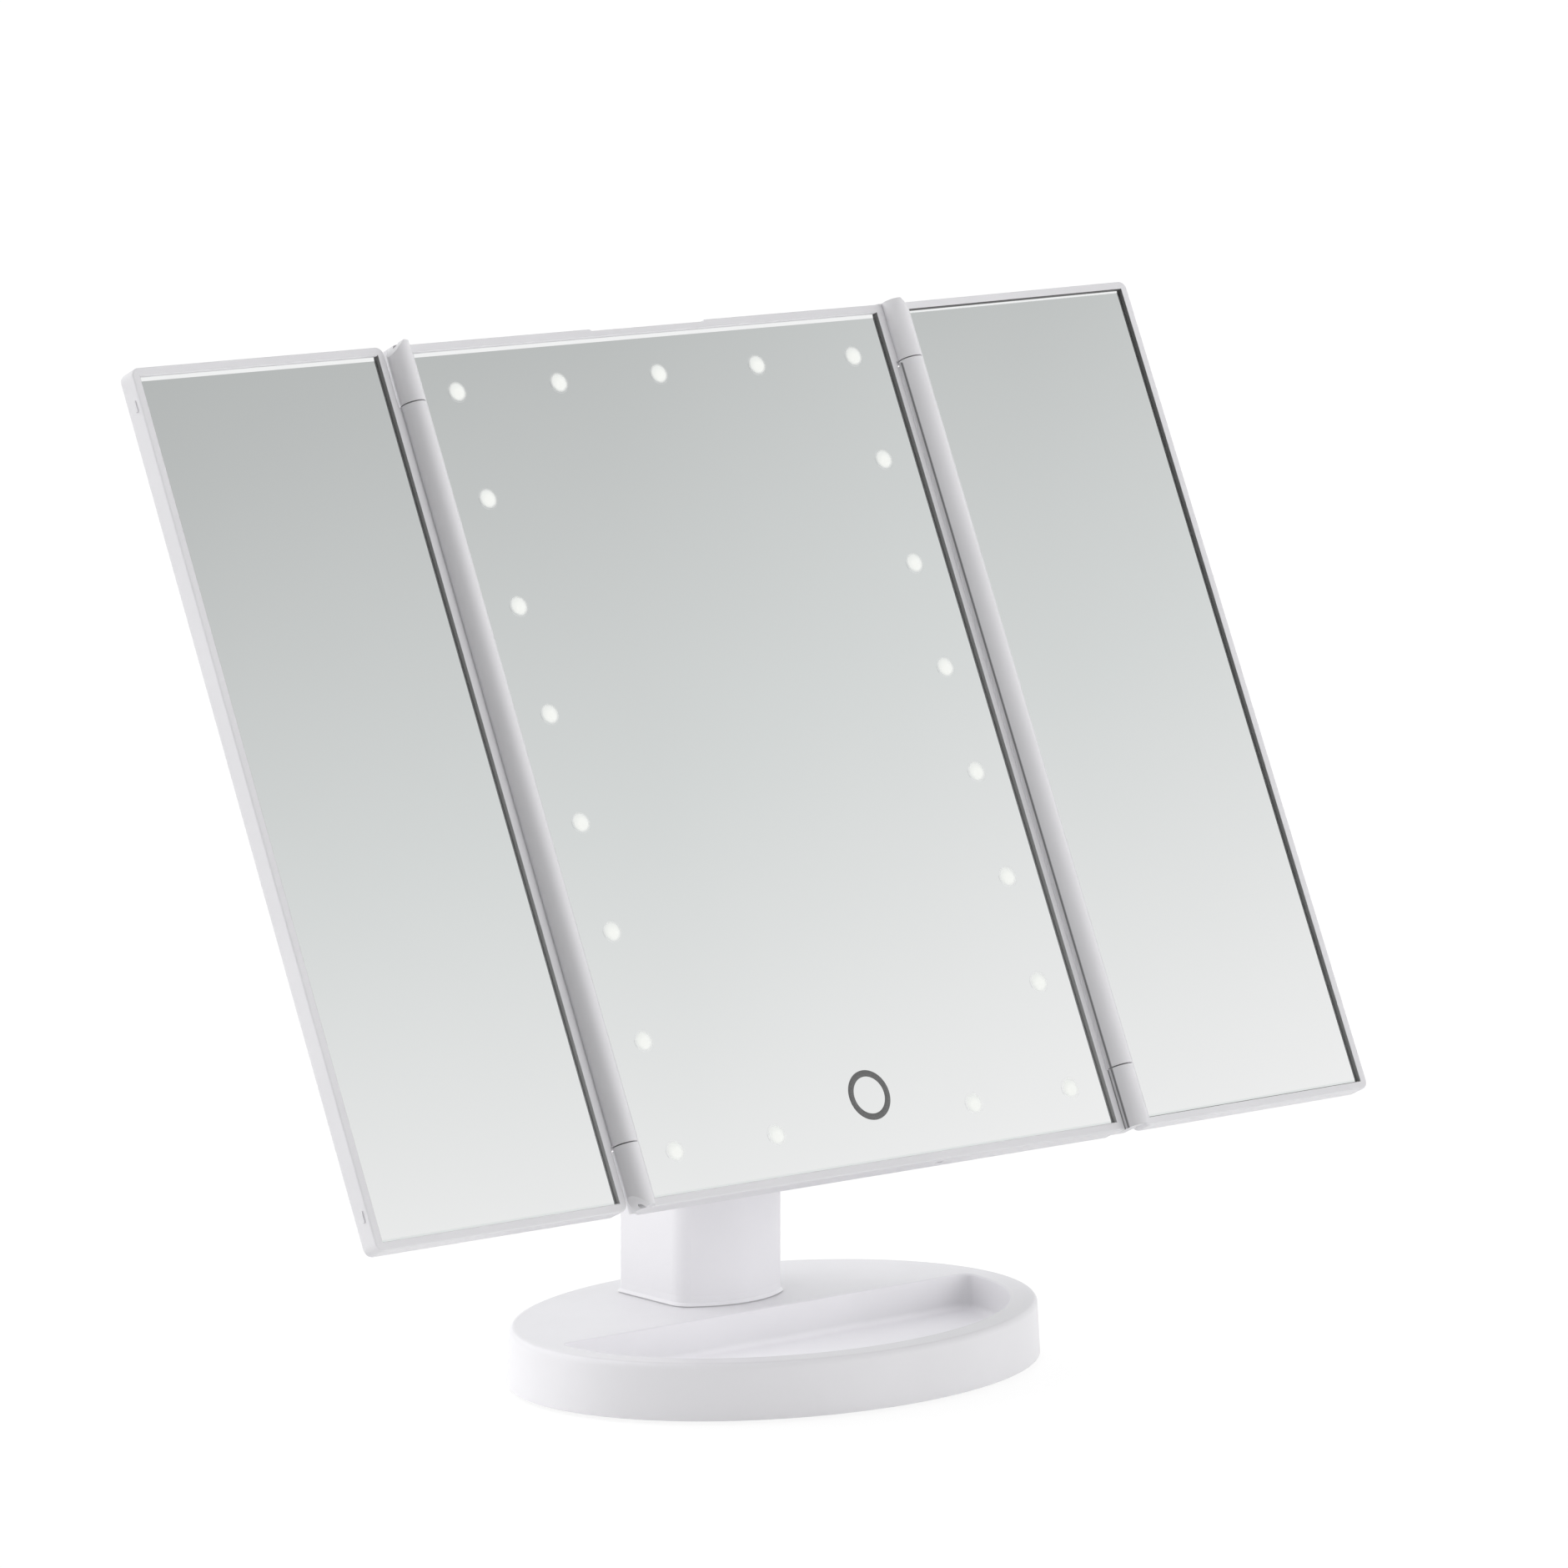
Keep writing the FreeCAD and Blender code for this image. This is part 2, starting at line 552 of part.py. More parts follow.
# ---- column --------------------------------------------------------------------------------------
def column_outline(grow, z):
    """The column's cross-section, grown by an offset: flat sides and back, bowed front, round corners."""
    half = COLUMN_WIDTH / 2
    radius = (half ** 2 + COLUMN_FRONT_BULGE ** 2) / (2 * COLUMN_FRONT_BULGE)
    bow_y = COLUMN_FRONT + radius
    half += grow
    radius += grow
    side_front = bow_y - math.sqrt(radius ** 2 - half ** 2)
    back = COLUMN_BACK + grow
    corners = [FreeCAD.Vector(half, side_front, z), FreeCAD.Vector(half, back, z)]
    corners += [FreeCAD.Vector(-half, back, z), FreeCAD.Vector(-half, side_front, z)]
    edges = [Part.LineSegment(corners[k], corners[k + 1]).toShape() for k in range(3)]
    bow = Part.Arc(corners[3], FreeCAD.Vector(0, bow_y - radius, z), corners[0])
    edges.append(bow.toShape())
    prism = Part.Face(Part.Wire(edges)).extrude(Z_DIR)
    upright = edges_along(prism, Z_DIR)
    front_edges = [edge for edge in upright if edge.CenterOfMass.y < bow_y]
    rear_edges = [edge for edge in upright if edge.CenterOfMass.y > bow_y]
    rear_corner = CAVITY_REAR_CORNER if grow < 0 else COLUMN_REAR_CORNER + grow
    prism = prism.makeFillet(rear_corner, rear_edges)
    prism = prism.makeFillet(COLUMN_FRONT_CORNER + grow, edges_near(prism, front_edges))
    lowest = min(prism.Faces, key=lambda face: face.CenterOfMass.z)
    return lowest.OuterWire


def column_prism(grow, z0, z1):
    """The column's cross-section, grown by an offset, between two heights."""
    return Part.Face(column_outline(grow, z0)).extrude(FreeCAD.Vector(0, 0, z1 - z0))


def hub_tangent(y, z, radius, side):
    """Where a line from a shoulder touches the hub's circle, in front (side -1) or behind (side 1)."""
    reach = math.hypot(y - AXIS_Y, z - AXIS_Z)
    angle = math.atan2(z - AXIS_Z, y - AXIS_Y) + side * math.acos(radius / reach)
    return FreeCAD.Vector(0, AXIS_Y + radius * math.cos(angle), AXIS_Z + radius * math.sin(angle))


def column_side_view(inset, half):
    """The column seen from the side, moved in by an inset: shoulders that lean in to the round hub."""
    radius = HUB_RADIUS - inset
    front = COLUMN_FRONT - FLARE + inset
    back = COLUMN_BACK + FLARE - inset
    lean_front = FreeCAD.Vector(0, COLUMN_FRONT + inset, FRONT_SHOULDER_Z)
    lean_back = FreeCAD.Vector(0, COLUMN_BACK - inset, CAVITY_TOP - REAR_SHOULDER_DROP)
    front_touch = hub_tangent(lean_front.y, lean_front.z, radius, -1)
    back_touch = hub_tangent(lean_back.y, lean_back.z, radius, 1)
    points = [front_touch, lean_front]
    points += [FreeCAD.Vector(0, front, FRONT_SHOULDER_Z), FreeCAD.Vector(0, front, BASE_TOP)]
    points += [FreeCAD.Vector(0, back, BASE_TOP), FreeCAD.Vector(0, back, lean_back.z)]
    points += [lean_back, back_touch]
    edges = [Part.LineSegment(points[k], points[k + 1]).toShape() for k in range(len(points) - 1)]
    over = Part.Arc(back_touch, FreeCAD.Vector(0, AXIS_Y, AXIS_Z + radius), front_touch)
    edges.append(over.toShape())
    face = Part.Face(Part.Wire(edges))
    face.translate(FreeCAD.Vector(-half, 0, 0))
    return face.extrude(FreeCAD.Vector(2 * half, 0, 0))


def column_envelope():
    """Outside of the column: shadow groove, flared foot, straight shaft, round top about the tilt axis."""
    groove = column_prism(FLARE - FOOT_GROOVE_DEPTH, BASE_TOP, BASE_TOP + FOOT_GROOVE)
    wide_z = BASE_TOP + FOOT_GROOVE
    middle = column_outline(FLARE / 4, wide_z + FLARE_HEIGHT / 3)
    foot = Part.makeLoft([column_outline(FLARE, wide_z), middle], True, True)
    ankle = Part.makeLoft([middle, column_outline(0, wide_z + FLARE_HEIGHT)], True, True)
    shaft = column_prism(0, wide_z + FLARE_HEIGHT, AXIS_Z + HUB_RADIUS)
    body = fuse(groove, [foot, ankle, shaft])
    return body.common(column_side_view(0, COLUMN_WIDTH))


def bay_screw_heights():
    """Heights of the two bay screws, at the middle of each row of cells."""
    first = BAY_BOTTOM + BAY_WALL + SLOT_LENGTH / 2
    return [first, first + SLOT_LENGTH + BAY_WALL]


def column_shell():
    """Column moulding with its battery opening behind, hub on top and bosses inside."""
    inside = column_prism(-COLUMN_WALL, BASE_TOP, CAVITY_TOP)
    inside = inside.common(column_side_view(COLUMN_WALL, COLUMN_WIDTH))
    boss_top = BASE_TOP + SCREW_LENGTH
    bosses = [rod_z(BOSS_RADIUS, x, y, BASE_TOP, boss_top) for x, y in column_boss_spots()]
    bosses += [rod_y(BOSS_RADIUS, 0, COLUMN_FRONT, BAY_FLOOR_FRONT, z) for z in bay_screw_heights()]
    shell = column_envelope().cut(inside.cut(bosses))
    half = BAY_INNER_WIDTH / 2
    pivot_radius = DOOR_PIVOT_DIAMETER / 2 + DOOR_PIVOT_CLEARANCE
    pivot_half = half + DOOR_PIVOT_LENGTH + DOOR_PIVOT_CLEARANCE
    socket_half = SOCKET_WIDTH / 2 + SOCKET_CLEARANCE
    socket_rise = SOCKET_HEIGHT / 2 + SOCKET_CLEARANCE
    wall_front = COLUMN_BACK - COLUMN_WALL
    cuts = [
        box(-half, half, wall_front - BAY_FIT, COLUMN_BACK + 1, DOOR_BOTTOM, DOOR_TOP),
        rod_x(pivot_radius, -pivot_half, pivot_half, door_axis_y(), door_axis_z()),
        box(-socket_half, socket_half, wall_front - 1, COLUMN_BACK + 1,
            SOCKET_Z - socket_rise, SOCKET_Z + socket_rise),
        rod_x(AXLE_DIAMETER / 2 + AXLE_CLEARANCE, -COLUMN_WIDTH, COLUMN_WIDTH, AXIS_Y, AXIS_Z),
        rod_z(LEAD_HOLE / 2, 0, AXIS_Y, CAVITY_TOP - 1, AXIS_Z),
    ]
    cuts += [rod_z(SCREW_BORE, x, y, BASE_TOP, boss_top) for x, y in column_boss_spots()]
    screw_end = BAY_FLOOR_FRONT - bay_screw_length() + BAY_WALL
    cuts += [rod_y(SCREW_BORE, 0, screw_end, BAY_FLOOR_FRONT, z) for z in bay_screw_heights()]
    return shell.cut(cuts)


def bay_screw_length():
    """The bay screws reach through the bay's floor and most of the column's bosses."""
    return BAY_WALL + BAY_FLOOR_FRONT - (AXIS_Y - HUB_RADIUS + COLUMN_WALL)


def battery_bay():
    """Open box for four cells in two rows, with saddle ribs and two legs that stand on the base."""
    half = BAY_INNER_WIDTH / 2
    rim_back = COLUMN_BACK - COLUMN_WALL - BAY_FIT
    tub = box(-half - BAY_WALL, half + BAY_WALL, BAY_FLOOR_FRONT, rim_back, BAY_BOTTOM, BAY_TOP)
    tub = tub.makeFillet(BAY_CORNER, edges_along(tub, Z_DIR))
    slots = []
    for row in range(2):
        low = BAY_BOTTOM + BAY_WALL + row * (SLOT_LENGTH + BAY_WALL)
        slots.append(box(-half, half, BAY_FLOOR_BACK, rim_back + 1, low, low + SLOT_LENGTH))
    tub = tub.cut(slots)
    ribs = []
    for row in range(2):
        low = BAY_BOTTOM + BAY_WALL + row * (SLOT_LENGTH + BAY_WALL)
        for side in (0.22, 0.78):
            middle = low + side * SLOT_LENGTH
            rib = box(-half, half, BAY_FLOOR_BACK, CELL_Y, middle - BAY_WALL / 2, middle + BAY_WALL / 2)
            saddle = [
                rod_z(CELL_DIAMETER / 2 + CELL_SIDE_CLEARANCE, x, CELL_Y, low, low + SLOT_LENGTH)
                for x in cell_columns()
            ]
            ribs.append(rib.cut(saddle))
    legs = [rod_z(BOSS_RADIUS, x, y, BASE_TOP, BAY_BOTTOM) for x, y in bay_leg_spots()]
    tub = fuse(tub, ribs + legs)
    cuts = [rod_y(SCREW_PASS, 0, BAY_FLOOR_FRONT, BAY_FLOOR_BACK, z) for z in bay_screw_heights()]
    cuts += [rod_z(SCREW_BORE, x, y, BASE_TOP, BASE_TOP + SCREW_LENGTH) for x, y in bay_leg_spots()]
    return tub.cut(cuts)


def bay_screws():
    """Two screws through the bay's floor, between the cells, into the column's front bosses."""
    back = -Y_DIR
    length = bay_screw_length() - SCREW_PASS_CLEARANCE
    return Part.makeCompound([tapping_screw(0, BAY_FLOOR_BACK, z, back, length) for z in bay_screw_heights()])


def door_axis_y():
    """The door turns in the middle of its own thickness."""
    return COLUMN_BACK - COLUMN_WALL / 2


def door_axis_z():
    """The door turns about its rounded lower end."""
    return DOOR_BOTTOM + DOOR_CLEARANCE + COLUMN_WALL / 2


def battery_door():
    """Flush door of the battery opening: rounded lower end with two pivots, finger recess near the top."""
    half = BAY_INNER_WIDTH / 2 - DOOR_CLEARANCE
    inner = COLUMN_BACK - COLUMN_WALL
    top = DOOR_TOP - DOOR_CLEARANCE
    plate = box(-half, half, inner, COLUMN_BACK, door_axis_z(), top)
    hinge_end = rod_x(COLUMN_WALL / 2, -half, half, door_axis_y(), door_axis_z())
    reach = BAY_INNER_WIDTH / 2 + DOOR_PIVOT_LENGTH
    pivots = rod_x(DOOR_PIVOT_DIAMETER / 2, -reach, reach, door_axis_y(), door_axis_z())
    door = fuse(plate, [hinge_end, pivots])
    grip_y = COLUMN_BACK + GRIP_RADIUS - GRIP_DEPTH
    grip = rod_x(GRIP_RADIUS, -GRIP_WIDTH / 2, GRIP_WIDTH / 2, grip_y, top - GRIP_FROM_TOP)
    return door.cut(grip)


def cell_columns():
    """X of the two cells side by side."""
    x = (CELL_DIAMETER + CELL_GAP) / 2
    return [-x, x]


def cell_slots():
    """Each cell's X, its slot's lower end and whether its nub points up. Neighbours point opposite ways."""
    slots = []
    for row in range(2):
        low = BAY_BOTTOM + BAY_WALL + row * (SLOT_LENGTH + BAY_WALL)
        for index, x in enumerate(cell_columns()):
            slots.append((x, low, (row + index) % 2 == 0))
    return slots


def battery_cell(slot):
    """A round cell with its contact nub, pressed against the plate at the nub's end of its slot."""
    x, low, nub_up = slot
    can = CELL_LENGTH - CELL_NUB_HEIGHT
    bottom = low + CONTACT_THICKNESS
    if nub_up:
        bottom = low + SLOT_LENGTH - CONTACT_THICKNESS - CELL_LENGTH
        body = rod_z(CELL_DIAMETER / 2, x, CELL_Y, bottom, bottom + can)
        nub = rod_z(CELL_NUB_DIAMETER / 2, x, CELL_Y, bottom + can, bottom + CELL_LENGTH)
    else:
        nub = rod_z(CELL_NUB_DIAMETER / 2, x, CELL_Y, bottom, bottom + CELL_NUB_HEIGHT)
        body = rod_z(CELL_DIAMETER / 2, x, CELL_Y, bottom + CELL_NUB_HEIGHT, bottom + CELL_LENGTH)
    return body.fuse(nub)


def contact_plate(x, z):
    """A square contact plate lying across a slot, from height z up."""
    half = CONTACT_WIDTH / 2
    return box(x - half, x + half, CELL_Y - half, CELL_Y + half, z, z + CONTACT_THICKNESS)


def battery_springs():
    """Four coil contacts on plates, at the flat ends of the cells."""
    springs = []
    for x, low, nub_up in cell_slots():
        if nub_up:
            plate = contact_plate(x, low)
            start = FreeCAD.Vector(x, CELL_Y, low + CONTACT_THICKNESS - SPRING_WIRE / 4)
            direction = Z_DIR
        else:
            plate = contact_plate(x, low + SLOT_LENGTH - CONTACT_THICKNESS)
            start = FreeCAD.Vector(x, CELL_Y, low + SLOT_LENGTH - CONTACT_THICKNESS + SPRING_WIRE / 4)
            direction = -Z_DIR
        turns = coil(SPRING_WIRE, SPRING_DIAMETER, SPRING_LENGTH, SPRING_TURNS, start, direction)
        springs.append(plate.fuse(turns))
    return Part.makeCompound(springs)


def battery_contacts():
    """Four flat contact plates at the nub ends of the cells."""
    plates = []
    for x, low, nub_up in cell_slots():
        plates.append(contact_plate(x, low + SLOT_LENGTH - CONTACT_THICKNESS if nub_up else low))
    return Part.makeCompound(plates)


def inlet_board():
    """Small board that carries the power socket, on the base's two pillars."""
    back = COLUMN_BACK - COLUMN_WALL - BAY_FIT
    half = INLET_BOARD_WIDTH / 2
    front = COLUMN_BACK - COLUMN_WALL - INLET_BOARD_LENGTH
    board = box(-half, half, front, back, INLET_BOARD_Z, INLET_BOARD_Z + BOARD_THICKNESS)
    return board.cut([rod_z(SMALL_PASS, x, y, INLET_BOARD_Z - 1, SOCKET_Z) for x, y in inlet_screw_spots()])


def inlet_board_screws():
    """Two screws that hold the inlet board down."""
    seat = INLET_BOARD_Z + BOARD_THICKNESS
    length = BOARD_THICKNESS + INLET_PILLAR_HEIGHT
    return Part.makeCompound([board_screw(x, y, seat, -Z_DIR, length) for x, y in inlet_screw_spots()])


def power_socket():
    """Metal shell of the power socket with its contact tongue, open towards the back."""
    back = COLUMN_BACK - SOCKET_CLEARANCE
    front = back - SOCKET_LENGTH
    half = SOCKET_WIDTH / 2
    low = INLET_BOARD_Z + BOARD_THICKNESS
    shell = slab(-half, half, front, back, low, low + SOCKET_HEIGHT, SOCKET_HEIGHT / 4)
    wall = SOCKET_WALL
    mouth = box(-half + wall, half - wall, front + wall, back + 1, low + wall, low + SOCKET_HEIGHT - wall)
    tongue = box(-half / 2, half / 2, front + wall / 2, back - wall, SOCKET_Z - wall, SOCKET_Z + wall)
    return fuse(shell.cut(mouth), [tongue])


def column_lead():
    """Two leads from the inlet board up the front of the column and into the hub."""
    board_top = INLET_BOARD_Z + BOARD_THICKNESS
    near = LEAD_SPACING / 2
    wide = BOSS_RADIUS + LEAD_DIAMETER
    start_y = COLUMN_BACK - COLUMN_WALL - INLET_BOARD_LENGTH + LEAD_DIAMETER
    run_y = (COLUMN_FRONT + COLUMN_WALL + BAY_FLOOR_FRONT) / 2
    return lead_pair([
        (near, start_y, board_top),
        (near, start_y, board_top + 2 * LEAD_DIAMETER),
        (wide, run_y, BAY_BOTTOM - LEAD_DIAMETER),
        (wide, run_y, BAY_TOP + LEAD_DIAMETER),
        (near, AXIS_Y, CAVITY_TOP - 2 * LEAD_DIAMETER),
        (near, AXIS_Y, AXIS_Z - AXLE_DIAMETER / 2 - LEAD_DIAMETER / 2),
    ])


# ---- tilt hinge ----------------------------------------------------------------------------------
def friction_washers():
    """A washer on each side of the column's hub."""
    outer = WASHER_DIAMETER / 2
    inner = AXLE_DIAMETER / 2 + 2 * AXLE_CLEARANCE
    x0 = COLUMN_WIDTH / 2
    ring = rod_x(outer, x0, x0 + WASHER_THICKNESS, AXIS_Y, AXIS_Z)
    ring = ring.cut(rod_x(inner, x0, x0 + WASHER_THICKNESS, AXIS_Y, AXIS_Z))
    return Part.makeCompound([ring, mirrored(ring)])


def place_head(shape):
    """Put a head shape, drawn upright with the rim's front at Y = 0 and its middle at Z = 0, on the stand."""
    placed = shape.copy()
    placed.translate(FreeCAD.Vector(0, -FACE_TO_AXIS, 0))
    placed.rotate(FreeCAD.Vector(0, 0, 0), X_DIR, -LEAN_SHOWN)
    placed.translate(FreeCAD.Vector(0, AXIS_Y, AXIS_Z))
    return placed


def yoke_screw_spots():
    """X and Z of the four yoke screws."""
    x = EAR_OUTER_X + YOKE_FLANGE / 2
    z = YOKE_HEIGHT / 2 - YOKE_FLANGE / 2
    return [(side * x, up * z) for up in (-1, 1) for side in (-1, 1)]


def ear():
    """The right ear: a round-ended lug from the plate to the axle, recessed for the bolt head or nut."""
    lug = rod_x(EAR_RADIUS, EAR_INNER_X, EAR_OUTER_X, FACE_TO_AXIS, 0)
    web = box(EAR_INNER_X, EAR_OUTER_X, HEAD_DEPTH, FACE_TO_AXIS, -EAR_RADIUS, EAR_RADIUS)
    bore = rod_x(AXLE_DIAMETER / 2 + ROD_PRESS_CLEARANCE, 0, EAR_OUTER_X, FACE_TO_AXIS, 0)
    recess = rod_x(ear_recess_radius(), EAR_OUTER_X - EAR_RECESS, EAR_OUTER_X, FACE_TO_AXIS, 0)
    return fuse(lug, [web]).cut([bore, recess])


def ear_recess_radius():
    """The recess takes the nut's corners and the bolt's head."""
    nut_corner = NUT_FLATS / math.sqrt(3)
    return max(nut_corner, AXLE_HEAD_DIAMETER / 2) + SCREW_PASS_CLEARANCE * 3


def tilt_yoke():
    """Bracket on the rear cover: a plate with two ears that hold the column's hub between them."""
    half = EAR_OUTER_X + YOKE_FLANGE
    rise = YOKE_HEIGHT / 2
    plate = slab(-half, half, HEAD_DEPTH, HEAD_DEPTH + YOKE_PLATE, -rise, rise, YOKE_CORNER)
    yoke = fuse(plate, both_sides(ear))
    cuts = [rod_y(SCREW_PASS, x, HEAD_DEPTH, HEAD_DEPTH + YOKE_PLATE, z) for x, z in yoke_screw_spots()]
    cuts.append(rod_y(LEAD_HOLE / 2, 0, HEAD_DEPTH, HEAD_DEPTH + YOKE_PLATE, 0))
    return yoke.cut(cuts)


def yoke_screws():
    """Four screws through the yoke's plate into the rear cover."""
    seat = HEAD_DEPTH + YOKE_PLATE
    length = yoke_screw_length()
    return Part.makeCompound([tapping_screw(x, seat, z, -Y_DIR, length) for x, z in yoke_screw_spots()])


def yoke_screw_length():
    """The yoke screws end inside the rear cover's bosses."""
    return YOKE_PLATE + COVER_WALL + 2


def tilt_axle():
    """Bolt through both ears and the hub, with its round head in the left ear's recess."""
    seat = EAR_OUTER_X - EAR_RECESS
    shank = rod_x(AXLE_DIAMETER / 2, -seat, seat + AXLE_HEAD_HEIGHT, FACE_TO_AXIS, 0)
    head = rod_x(AXLE_HEAD_DIAMETER / 2, -seat - AXLE_HEAD_HEIGHT, -seat, FACE_TO_AXIS, 0)
    return shank.fuse(head)


def axle_nut():
    """Six-sided nut in the right ear's recess."""
    seat = EAR_OUTER_X - EAR_RECESS
    corner = NUT_FLATS / math.sqrt(3)
    points = []
    for k in range(7):
        angle = math.radians(60 * k)
        points.append(FreeCAD.Vector(seat, FACE_TO_AXIS + corner * math.cos(angle), corner * math.sin(angle)))
    nut = Part.Face(Part.makePolygon(points)).extrude(FreeCAD.Vector(AXLE_HEAD_HEIGHT, 0, 0))
    return nut.cut(rod_x(AXLE_DIAMETER / 2 + ROD_PRESS_CLEARANCE, 0, EAR_OUTER_X, FACE_TO_AXIS, 0))


def yoke_caps():
    """Round caps that close the ears' recesses."""
    def cap():
        skirt_start = EAR_OUTER_X - EAR_RECESS + AXLE_HEAD_HEIGHT + SCREW_PASS_CLEARANCE
        plug = rod_x(ear_recess_radius() - ROD_PRESS_CLEARANCE, skirt_start, EAR_OUTER_X, FACE_TO_AXIS, 0)
        face = rod_x(ear_recess_radius() + 1, EAR_OUTER_X, EAR_OUTER_X + CAP_THICKNESS, FACE_TO_AXIS, 0)
        face = face.makeFillet(CAP_THICKNESS * 0.6, edges_in_plane(face, "X", EAR_OUTER_X + CAP_THICKNESS))
        return plug.fuse(face)
    return Part.makeCompound(both_sides(cap))


# ---- centre panel --------------------------------------------------------------------------------
def light_spots():
    """X and Z of every light: a rectangle of lights whose middle lower place belongs to the touch ring."""
    spots = []
    for row in range(LIGHT_ROWS):
        for column in range(LIGHT_COLUMNS):
            inside = 0 < column < LIGHT_COLUMNS - 1 and 0 < row < LIGHT_ROWS - 1
            ring_place = row == 0 and 2 * column == LIGHT_COLUMNS - 1
            if not inside and not ring_place:
                spots.append((column * LIGHT_PITCH_X - LIGHT_HALF_X, row * LIGHT_PITCH_Z - LIGHT_HALF_Z))
    return spots


def strip_boxes():
    """X and Z limits of the four light strips, butted at the corners."""
    half = STRIP_WIDTH / 2
    gap = BACK_FIT
    top = (-LIGHT_HALF_X - half, LIGHT_HALF_X + half, LIGHT_HALF_Z - half, LIGHT_HALF_Z + half)
    low = -LIGHT_HALF_Z - half
    high = LIGHT_HALF_Z - half - gap
    left = (-LIGHT_HALF_X - half, -LIGHT_HALF_X + half, low, high)
    right = (LIGHT_HALF_X - half, LIGHT_HALF_X + half, low, high)
    inner = LIGHT_HALF_X - half - gap
    bottom = (-inner, inner, low, -LIGHT_HALF_Z + half)
    return {"top": top, "left": left, "right": right, "bottom": bottom}


def strip_pins(name):
    """X and Z of the two locating pins of one light strip, midway between neighbouring lights."""
    if name in ("top", "bottom"):
        z = LIGHT_HALF_Z if name == "top" else -LIGHT_HALF_Z
        return [(-1.5 * LIGHT_PITCH_X, z), (1.5 * LIGHT_PITCH_X, z)]
    x = LIGHT_HALF_X if name == "right" else -LIGHT_HALF_X
    return [(x, -2 * LIGHT_PITCH_Z), (x, 2 * LIGHT_PITCH_Z)]


def cover_screw_spots():
    """X and Z of the six screws that hold the rear cover to the centre frame."""
    x = LIGHT_HALF_X - COVER_BOSS_INSET
    z = LIGHT_HALF_Z - COVER_BOSS_INSET
    return [(side * x, level * z) for level in (-1, 0, 1) for side in (-1, 1)]


def knuckle(sign):
    """The right end knuckle, on top for sign 1: barrel piece and web, its end cut at 45 degrees outwards."""
    low, high = (KNUCKLE_START, HALF_HEIGHT) if sign > 0 else (-HALF_HEIGHT, -KNUCKLE_START)
    barrel = rod_z(BARREL_RADIUS, HINGE_X, -HINGE_RISE, low, high)
    web = box(CENTRE_HALF - RIM / 2, HINGE_X, 0, PANEL_THICKNESS - BACK_THICKNESS, low, high)
    end = HALF_HEIGHT * sign
    reach = 2 * BARREL_DIAMETER
    wedge = [
        FreeCAD.Vector(HINGE_X, -reach, end),
        FreeCAD.Vector(HINGE_X + reach, -reach, end),
        FreeCAD.Vector(HINGE_X + reach, -reach, end - sign * reach),
        FreeCAD.Vector(HINGE_X, -reach, end),
    ]
    cut = Part.Face(Part.makePolygon(wedge)).extrude(FreeCAD.Vector(0, 3 * reach, 0))
    return fuse(barrel, [web]).cut(cut)


def centre_frame():
    """Bezel of the centre panel: rim, floor with light tubes, strip pins, bosses and four end knuckles."""
    frame = slab(-CENTRE_HALF, CENTRE_HALF, 0, PANEL_THICKNESS, -HALF_HEIGHT, HALF_HEIGHT, PANEL_CORNER / 2)
    frame = frame.makeFillet(PANEL_FRONT_ROUND, edges_in_plane(frame, "Y", 0))
    wide, tall = OPENING_HALF_WIDTH, OPENING_HALF_HEIGHT
    front = box(-wide, wide, -1, FLOOR_FRONT, -tall, tall)
    back = box(-wide, wide, FLOOR_BACK, PANEL_THICKNESS + 1, -tall, tall)
    frame = frame.cut([front, back])
    tube = LIGHT_BORE / 2 + LIGHT_TUBE_WALL
    adds = [rod_y(tube, x, FLOOR_FRONT, STRIP_FRONT, z) for x, z in light_spots()]
    pin = STRIP_PIN_DIAMETER / 2
    for name in strip_boxes():
        for x, z in strip_pins(name):
            adds.append(rod_y(tube, x, FLOOR_FRONT, STRIP_FRONT, z))
            adds.append(rod_y(pin, x, FLOOR_FRONT, STRIP_BACK + STRIP_PIN_HEIGHT, z))
    adds += [rod_y(BOSS_RADIUS, x, FLOOR_FRONT, PANEL_THICKNESS, z) for x, z in cover_screw_spots()]
    for sign in (-1, 1):
        right = knuckle(sign)
        adds += [right, mirrored(right)]
    frame = fuse(frame, adds)
    cuts = [rod_y(LIGHT_BORE / 2, x, 0, STRIP_FRONT + 1, z) for x, z in light_spots()]
    cuts.append(rod_y(TOUCH_BORE / 2, 0, 0, FLOOR_BACK + LIGHT_TUBE_HEIGHT, TOUCH_Z))
    cuts += [rod_y(SCREW_BORE, x, FLOOR_FRONT, PANEL_THICKNESS, z) for x, z in cover_screw_spots()]
    hole = ROD_DIAMETER / 2 + ROD_PRESS_CLEARANCE
    cuts += [rod_z(hole, side * HINGE_X, -HINGE_RISE, -HALF_HEIGHT, HALF_HEIGHT) for side in (-1, 1)]
    cuts.append(finger_notch())
    cuts.append(pry_slot())
    return frame.cut(cuts)


def finger_notch():
    """Shallow notch with sloping ends in the top edge, where a finger lifts the folded panels."""
    half = NOTCH_WIDTH / 2
    low, high = HALF_HEIGHT - NOTCH_DEPTH, HALF_HEIGHT + NOTCH_DEPTH
    points = [
        FreeCAD.Vector(-half - NOTCH_DEPTH, -1, high),
        FreeCAD.Vector(NOTCH_DEPTH - half, -1, low),
        FreeCAD.Vector(half - NOTCH_DEPTH, -1, low),
        FreeCAD.Vector(half + NOTCH_DEPTH, -1, high),
    ]
    points.append(points[0])
    return Part.Face(Part.makePolygon(points)).extrude(FreeCAD.Vector(0, PANEL_THICKNESS + 2, 0))


